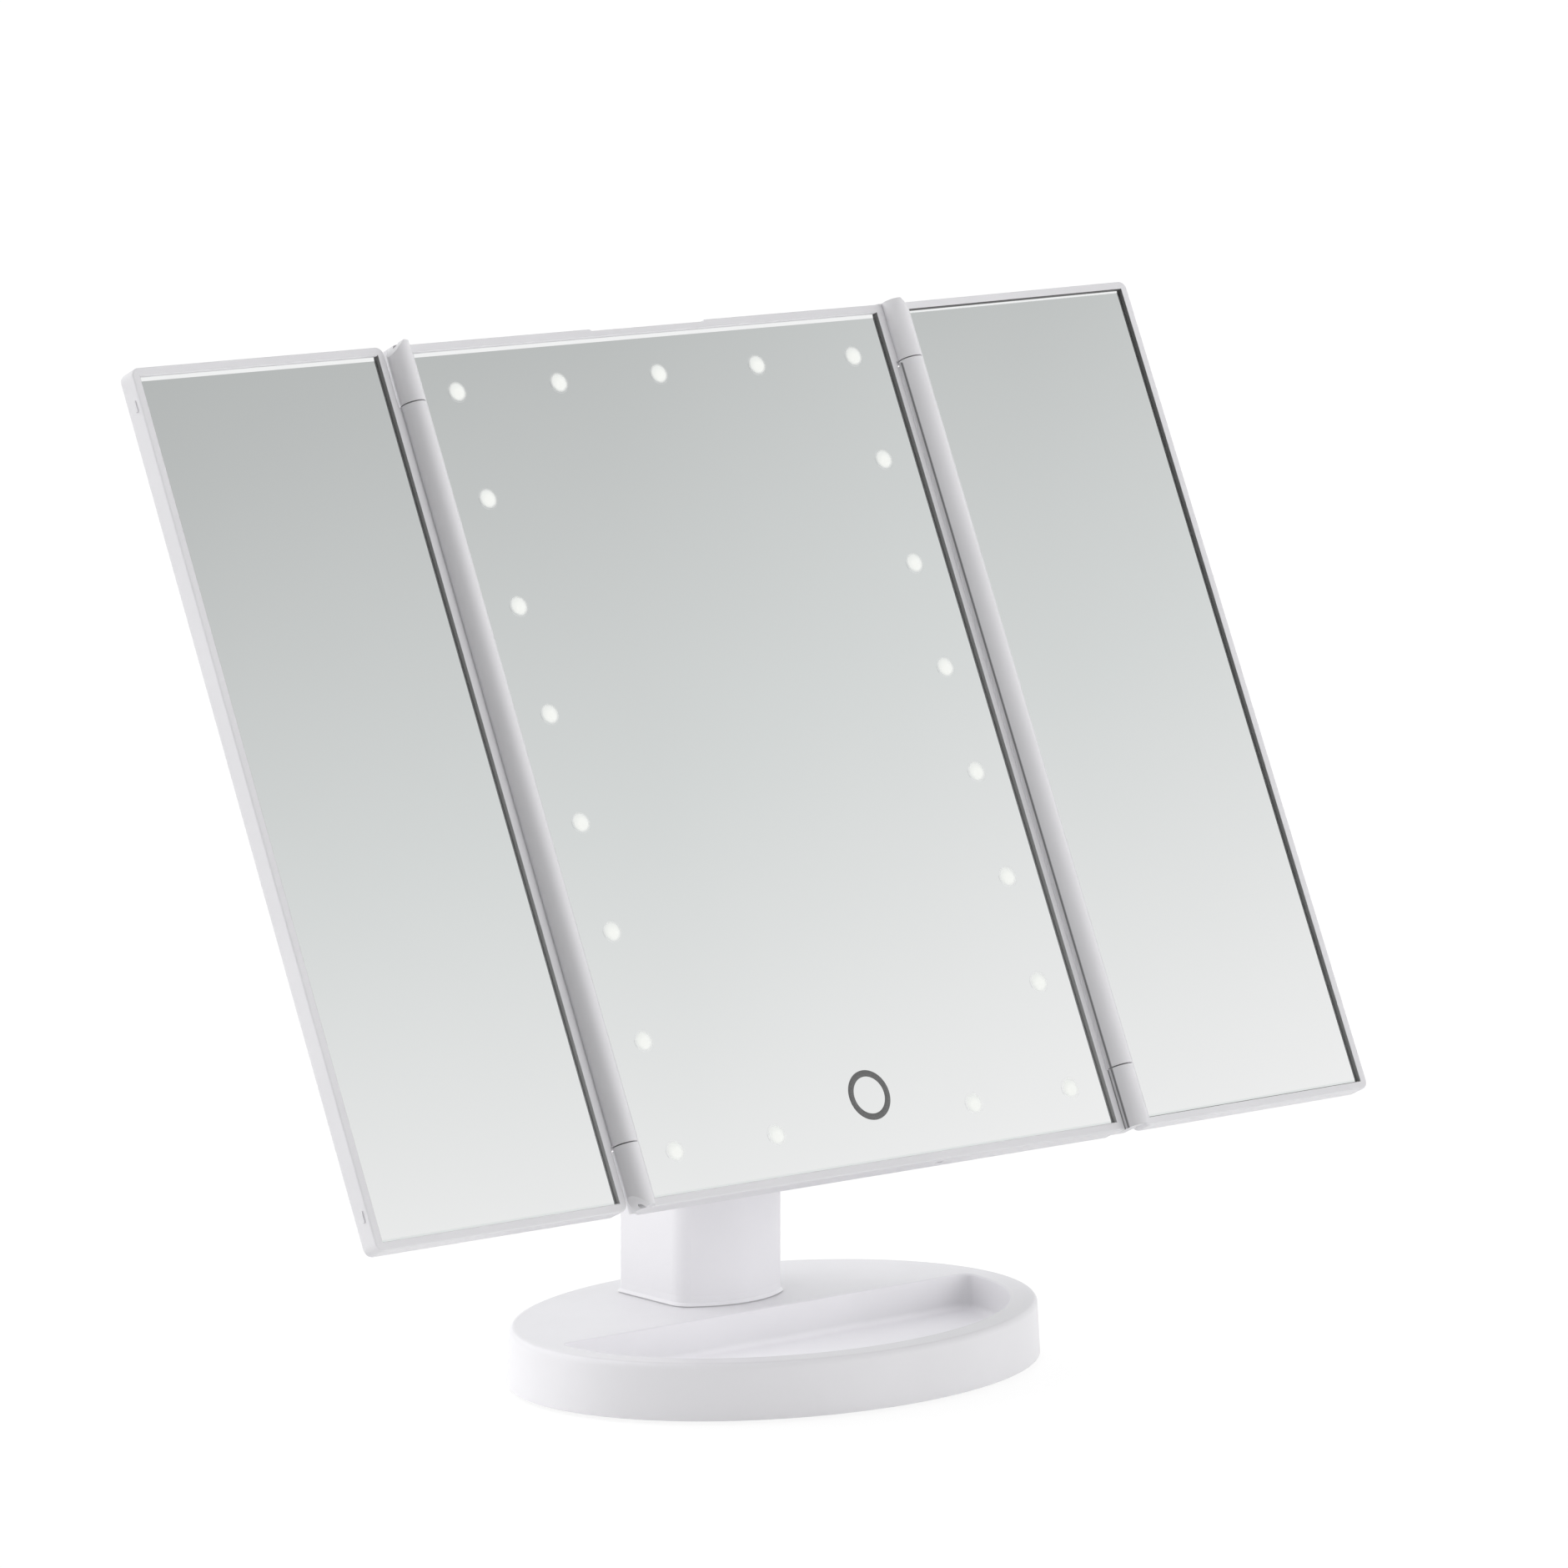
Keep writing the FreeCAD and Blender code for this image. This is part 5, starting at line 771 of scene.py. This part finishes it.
def material(name):
    """A finish by name, made when it is first asked for."""
    makers = {
        "white_plastic": lambda: shell_plastic(name),
        "base_plastic": base_plastic,
        "head_plastic": head_plastic,
        "inner_plastic": inner_plastic,
        "mirror_glass": mirror_glass,
        "diffuser": diffuser_plastic,
        "led": led_material,
        "circuit_board": lambda: board_material(name, (0.02, 0.16, 0.07), (0.75, 0.45, 0.25), 330.0),
        "light_strip": lambda: board_material(name, (0.72, 0.73, 0.72), (0.75, 0.55, 0.35), 260.0),
        "steel": steel,
        "rubber": rubber,
        "tape": foam_tape,
        "lead_insulation": lead_insulation,
        "cell_jacket": cell_jacket,
        "switch_knob": knob_plastic,
        "glass_edge": lambda: glass_edge(name, "band"),
        "deep_glass_edge": lambda: glass_edge(name, "deep_band"),
        "light_window": light_window,
        "touch_print": touch_print,
    }
    if name not in MATERIALS:
        MATERIALS[name] = makers[name]()
    return MATERIALS[name]


def dress(names, finish):
    """Gives CAD nodes a finish in every material slot."""
    for name in names:
        slots = NODES[name].data.materials
        if not slots:
            slots.append(material(finish))
        for number in range(len(slots)):
            slots[number] = material(finish)


# ---- operators ----
class TRIFOLD_OT_shells(bpy.types.Operator):
    """White outer mouldings: base, column, head, side panels"""

    bl_idname = "trifold.shells"
    bl_label = "White Shells"

    def execute(self, context):
        dress(["base_plate", "column_shell", "battery_door", "tilt_yoke", "yoke_caps"], "white_plastic")
        dress(["centre_frame", "rear_cover"], "head_plastic")
        dress(["left_frame", "left_back", "right_frame", "right_back"], "head_plastic")
        dress(["base_shell"], "base_plastic")
        return {"FINISHED"}


class TRIFOLD_OT_mirrors(bpy.types.Operator):
    """Three mirror plates, with the ground edge round each, its grey partly painted shade, and the bevel along
    each top
    """

    bl_idname = "trifold.mirrors"
    bl_label = "Mirror Plates"

    def execute(self, context):
        dress(["left_glass", "centre_glass", "right_glass"], "mirror_glass")
        sizes = context.scene.trifold_head
        self.add_edges(sizes)
        self.add_bevels(sizes)
        return {"FINISHED"}

    def add_edges(self, sizes):
        """A band of ground edge round each plate, its grey partly painted shade, white along the top and bottom
        of the two plates in light.
        """
        thick = sizes.band_thickness
        front = 0.03 * MM
        back = sizes.glass_depth - GAP
        profile = [(GAP, front), (thick, front + thick), (thick, back), (GAP, back)]
        tall = sizes.opening_z
        centre, quads = loop_strip(-sizes.opening_x, sizes.opening_x, -tall, tall, profile)
        side, _ = loop_strip(sizes.side_inner, sizes.side_outer, -tall, tall, profile)
        middle_z = centre.reshape(-1, 3)[quads].mean(axis=1)[:, 2]
        across = np.abs(middle_z) > tall - 1.5 * thick  # the faces along the top and the bottom
        # The right plate's band takes the darker edge all round: painted shade.
        for name, points, faces, body, finish in (
            ("centre_glass_edge", centre, quads, "head", "glass_edge"),
            ("right_glass_edge", right_panel_points(side), quads, "right_panel", "deep_glass_edge"),
            ("left_glass_edge", mirrored(side), quads[:, ::-1], "left_panel", "glass_edge"),
        ):
            mesh = make_mesh(name, head_points(points), faces, smooth=False)
            add_piece(name, mesh, finish, body)
            if finish == "glass_edge":
                mesh.materials.append(material("white_plastic"))
                mesh.polygons.foreach_set("material_index", across.astype(np.int32))

    def add_bevels(self, sizes):
        """Polished bevel along the top of each plate, where it catches the light.

        Each is a flat three-cornered bar along X: flush with the plate at its foot, and a little ahead of it
        at the rim.
        """
        flush = sizes.glass_depth - CLEARANCE
        edge = sizes.band_thickness
        tall = sizes.opening_z - edge
        steps, corners = 9, 4
        caps = np.array([(3, 2, 1, 0), (0, 1, 2, 3)]) + [[0], [(steps - 1) * corners]]
        quads = np.concatenate([grid_quads(steps, corners, wrap_columns=True), caps])
        for name, x0, x1, body, share in (
            ("centre_glass_bevel", -sizes.opening_x, sizes.opening_x, "head", 1.0),
            ("right_glass_bevel", sizes.side_inner, sizes.side_outer, "right_panel", 0.55),
            ("left_glass_bevel", -sizes.side_outer, -sizes.side_inner, "left_panel", 1.0),
        ):
            foot = tall - sizes.bevel_width * share
            section = np.array([(flush, tall), (flush - sizes.bevel_rise * share, tall),
                                (flush - 0.001 * MM, foot), (flush, foot)])
            x = np.linspace(x0 + edge, x1 - edge, steps)[:, None, None]
            points = np.concatenate([np.broadcast_to(x, (steps, corners, 1)),
                                     np.broadcast_to(section, (steps, corners, 2))], axis=-1)
            if body == "right_panel":
                points = right_panel_points(points)
            mesh = make_mesh(name, head_points(points), quads, smooth=False)
            face_outwards(mesh)
            add_piece(name, mesh, "mirror_glass", body)


class TRIFOLD_OT_light_windows(bpy.types.Operator):
    """Frosted windows over the lamps, all round the centre glass but where the touch ring is"""

    bl_idname = "trifold.light_windows"
    bl_label = "Light Windows"

    def execute(self, context):
        sizes = context.scene.trifold_head
        across = np.linspace(-sizes.window_x, sizes.window_x, sizes.window_columns)
        down = np.linspace(sizes.window_z, -sizes.window_z, sizes.window_rows)
        grid = np.stack(np.meshgrid(across, down, indexing="ij"), axis=-1)
        border = np.ones(grid.shape[:2], dtype=bool)
        border[1:-1, 1:-1] = False
        border[sizes.window_columns // 2, -1] = False  # the touch ring's place
        back = sizes.glass_depth - CLEARANCE
        front = back - sizes.print_thickness
        shares = np.array([0.0, 0.3, 0.6, 0.85, 0.995, 1.0, 1.0, 0.5, 0.0])
        depths = [front, front, front, front, front, front + GAP, back, back, back]
        radii = shares * sizes.window_diameter / 2
        points, quads, uv = turned_discs(grid[border], radii, depths, segments=40)
        mesh = make_mesh("light_windows", head_points(points), quads, uv=uv, smooth=False)
        add_piece("light_windows", mesh, "light_window", "head")
        dress(["light_diffusers"], "diffuser")
        dress(["leds"], "led")
        return {"FINISHED"}


class TRIFOLD_OT_touch_ring(bpy.types.Operator):
    """Printed ring of the touch control, low on the centre glass"""

    bl_idname = "trifold.touch_ring"
    bl_label = "Touch Ring"

    def execute(self, context):
        sizes = context.scene.trifold_head
        outer = sizes.ring_outer / 2
        inner = sizes.ring_inner / 2
        back = sizes.glass_depth - CLEARANCE
        front = back - sizes.print_thickness
        radii = [inner, inner + GAP, outer - GAP, outer, outer, inner, inner]
        depths = [front + GAP, front, front, front + GAP, back, back, front + GAP]
        points, quads, uv = turned_discs([(0.0, -sizes.ring_drop)], radii, depths, segments=96)
        mesh = make_mesh("touch_ring", head_points(points), quads, uv=uv)
        add_piece("touch_ring", mesh, "touch_print", "head")
        return {"FINISHED"}


class TRIFOLD_OT_hardware(bpy.types.Operator):
    """Screws, pins, axle, springs, contacts and the socket"""

    bl_idname = "trifold.hardware"
    bl_label = "Metal Hardware"

    def execute(self, context):
        groups = ("base", "column", "bay", "inlet_board", "control_board", "yoke", "rear_cover")
        dress([f"{group}_screws" for group in groups], "steel")
        dress(["tilt_axle", "axle_nut", "friction_washers", "hinge_rod_left", "hinge_rod_right"], "steel")
        dress(["battery_springs", "battery_contacts", "touch_spring", "power_socket"], "steel")
        return {"FINISHED"}


class TRIFOLD_OT_works(bpy.types.Operator):
    """Battery bay, cells, boards, light strips, leads, tapes, switch and feet"""

    bl_idname = "trifold.works"
    bl_label = "Inner Works"

    def execute(self, context):
        dress(["battery_bay", "switch_housing"], "inner_plastic")
        for row in ("lower", "upper"):
            dress([f"cell_{row}_left", f"cell_{row}_right"], "cell_jacket")
        dress(["inlet_board", "control_board"], "circuit_board")
        dress([f"light_strip_{side}" for side in ("top", "bottom", "left", "right")], "light_strip")
        dress(["column_lead", "head_lead"], "lead_insulation")
        dress(["centre_tape", "left_tape", "right_tape"], "tape")
        dress(["switch_slider"], "switch_knob")
        dress(["rubber_feet"], "rubber")
        return {"FINISHED"}


class TRIFOLD_OT_stage(bpy.types.Operator):
    """Pale floor, soft surroundings and the camera"""

    bl_idname = "trifold.stage"
    bl_label = "Studio"

    def execute(self, context):
        levels = context.scene.trifold_stage
        self.add_floor(context, levels)
        self.add_surroundings(context, levels)
        self.add_camera(context)
        context.scene.view_settings.view_transform = "Standard"
        return {"FINISHED"}

    def add_floor(self, context, levels):
        """A large pale sheet under the feet, brightened where the camera or a mirror looks at it."""
        half = 8.0
        drop = 0.1 * MM
        rows = 9
        glow = 1.06
        glow_share = 0.85
        steps = np.linspace(-half, half, rows)
        x, y = np.meshgrid(steps, steps, indexing="xy")
        points = np.stack([x, y, np.full_like(x, -drop)], axis=-1)
        mesh = make_mesh("floor", points, grid_quads(rows, rows), smooth=False)
        sheet, tree, inputs = new_material("floor", Roughness=0.9)
        speckle = noise(tree, object_coordinates(tree), scale=12.0, detail=2.0)
        speckle = remap(tree, speckle, 0.3, 0.7)
        face = blend_colour(tree, speckle, [v * 0.99 for v in levels.floor], levels.floor)
        tree.links.new(face, inputs["Base Color"])
        seen = tree.nodes.new("ShaderNodeEmission")
        seen.inputs["Strength"].default_value = glow
        matt = tree.nodes["Principled BSDF"].outputs[0]
        path = tree.nodes.new("ShaderNodeLightPath").outputs
        looked_at = arithmetic(tree, "MAXIMUM", path["Is Camera Ray"], path["Is Glossy Ray"])
        looked_at = arithmetic(tree, "MAXIMUM", looked_at, path["Is Transmission Ray"])
        bright = mix_shaders(tree, glow_share, matt, seen.outputs[0])
        surface = tree.nodes["Material Output"].inputs["Surface"]
        tree.links.new(mix_shaders(tree, looked_at, matt, bright), surface)
        floor = bpy.data.objects.new("floor", mesh)
        context.scene.collection.objects.link(floor)
        mesh.materials.append(sheet)

    def add_surroundings(self, context, levels):
        """White to the camera, soft boxes for matt surfaces, and for mirrors a sky with a grey band in it."""
        world = bpy.data.worlds.new("studio")
        context.scene.world = world
        world.use_nodes = True
        tree = world.node_tree
        direction = tree.nodes.new("ShaderNodeTexCoord").outputs["Generated"]
        room = 0.0
        for turn, strength in enumerate(levels.low_boxes):
            room = self.soft_box(tree, direction, strength, room, azimuth=45.0 * turn, elevation=8.0)
        for turn, strength in enumerate(levels.high_boxes):
            room = self.soft_box(tree, direction, strength, room, azimuth=45.0 + 90.0 * turn, elevation=45.0)
        path = tree.nodes.new("ShaderNodeLightPath").outputs
        sky = self.mirror_sky(tree, direction, levels)
        surroundings = blend_colour(tree, path["Is Glossy Ray"], room, sky)
        clear = arithmetic(tree, "MAXIMUM", path["Is Camera Ray"], path["Is Transmission Ray"])
        surroundings = blend_colour(tree, clear, surroundings, (1.0, 1.0, 1.0))
        tree.links.new(surroundings, tree.nodes["Background"].inputs["Color"])

    def soft_box(self, tree, direction, strength, others, azimuth, elevation):
        """Adds a soft box to the others. Its level falls as the sixth power of the cosine off its middle."""
        around, rise = math.radians(azimuth), math.radians(elevation)
        middle = (math.cos(around) * math.cos(rise), math.sin(around) * math.cos(rise), math.sin(rise))
        facing = arithmetic(tree, "MAXIMUM", vector_maths(tree, "DOT_PRODUCT", direction, middle), 0.0)
        return times_plus(tree, arithmetic(tree, "POWER", facing, 6.0), strength, others)

    def mirror_sky(self, tree, direction, levels):
        """What mirrors see: levels by height, with a grey band, and dimmer on one side of the room.

        The three plates look in directions of different X. The heights are stretched and shifted by X, so
        that each plate shows its own cut of the band. Grey parts are tinted faintly green.
        """
        left_plate, seam, right_plate = 0.586, 0.62, 0.68
        band_height = 0.455
        dim_side = (-0.7071, -0.7071, 0.0)
        stops = (
            (0.0, 0.76 * levels.low_sky), (0.3, 0.86 * levels.low_sky), (0.435, levels.low_sky),
            (0.455, 0.94), (0.50, 0.74), (0.545, levels.dusk), (0.565, levels.dusk - 0.05),
            (0.63, levels.dusk - 0.05), (0.69, 0.9), (1.0, 0.8),
        )
        ramp = tree.nodes.new("ShaderNodeValToRGB")
        elements = ramp.color_ramp.elements
        while len(elements) < len(stops):
            elements.new(0.5)
        for element, (place, tone) in zip(elements, stops):
            element.position = place
            green = 1.0 if tone > 0.9 else 1.006
            element.color = (tone * (2.0 - green) ** 4, tone * green, tone, 1.0)
        axes = parts_of(tree, direction)
        stretch = remap(tree, axes["X"], left_plate, right_plate, 1.2, 0.8, smooth=False)
        left_shift = remap(tree, axes["X"], left_plate, seam, -0.022, 0.0, smooth=False)
        right_shift = remap(tree, axes["X"], seam, right_plate, 0.4545, 0.468, smooth=False)
        height = arithmetic(tree, "SUBTRACT", axes["Z"], band_height)
        shift = arithmetic(tree, "ADD", left_shift, right_shift)
        tree.links.new(times_plus(tree, height, stretch, shift), ramp.inputs["Fac"])
        sky = ramp.outputs["Color"]
        dimmed = blend_colour(tree, 1.0, sky, [levels.gloss_side] * 3, mode="MULTIPLY")
        towards_dim = remap(tree, vector_maths(tree, "DOT_PRODUCT", direction, dim_side), 0.5, 0.9)
        return blend_colour(tree, towards_dim, sky, dimmed)

    def add_camera(self, context):
        """A long lens from the front left, a little above the tray."""
        sine, cosine = math.sin(CAMERA_AZIMUTH), math.cos(CAMERA_AZIMUTH)
        rise, run = math.sin(CAMERA_ELEVATION), math.cos(CAMERA_ELEVATION)
        right = Vector((cosine, sine, 0.0))
        up = Vector((-sine * rise, cosine * rise, run))
        back = Vector((sine * run, -cosine * run, rise))
        camera = bpy.data.cameras.new("camera")
        camera.sensor_width = SENSOR
        camera.lens = LENS
        camera.clip_end = 50.0
        camera_object = bpy.data.objects.new("camera", camera)
        context.scene.collection.objects.link(camera_object)
        turn = Matrix((right, up, back)).transposed().to_4x4()
        camera_object.matrix_world = Matrix.Translation(CAMERA_PLACE) @ turn
        context.scene.camera = camera_object


class TRIFOLD_PT_panel(bpy.types.Panel):
    """Lists the steps that dress the mirror"""

    bl_idname = "TRIFOLD_PT_panel"
    bl_label = "Trifold Mirror"
    bl_space_type = "VIEW_3D"
    bl_region_type = "UI"
    bl_category = "Trifold Mirror"

    def draw(self, context):
        for step in STEPS:
            self.layout.operator(step.bl_idname)


STEPS = (
    TRIFOLD_OT_shells,
    TRIFOLD_OT_mirrors,
    TRIFOLD_OT_light_windows,
    TRIFOLD_OT_touch_ring,
    TRIFOLD_OT_hardware,
    TRIFOLD_OT_works,
    TRIFOLD_OT_stage,
)
SETTINGS = {
    "trifold_head": HeadSizes,
    "trifold_plastic": PlasticColours,
    "trifold_glass": GlassColours,
    "trifold_stage": StageLevels,
}


def register():
    for settings in SETTINGS.values():
        bpy.utils.register_class(settings)
    for name, settings in SETTINGS.items():
        setattr(bpy.types.Scene, name, PointerProperty(type=settings))
    for step in STEPS:
        bpy.utils.register_class(step)
    bpy.utils.register_class(TRIFOLD_PT_panel)


def unregister():
    bpy.utils.unregister_class(TRIFOLD_PT_panel)
    for step in reversed(STEPS):
        bpy.utils.unregister_class(step)
    for name in SETTINGS:
        delattr(bpy.types.Scene, name)
    for settings in reversed(SETTINGS.values()):
        bpy.utils.unregister_class(settings)


def main():
    register()
    bpy.ops.trifold.shells()
    bpy.ops.trifold.mirrors()
    bpy.ops.trifold.light_windows()
    bpy.ops.trifold.touch_ring()
    bpy.ops.trifold.hardware()
    bpy.ops.trifold.works()
    bpy.ops.trifold.stage()


if __name__ == "__main__":
    main()
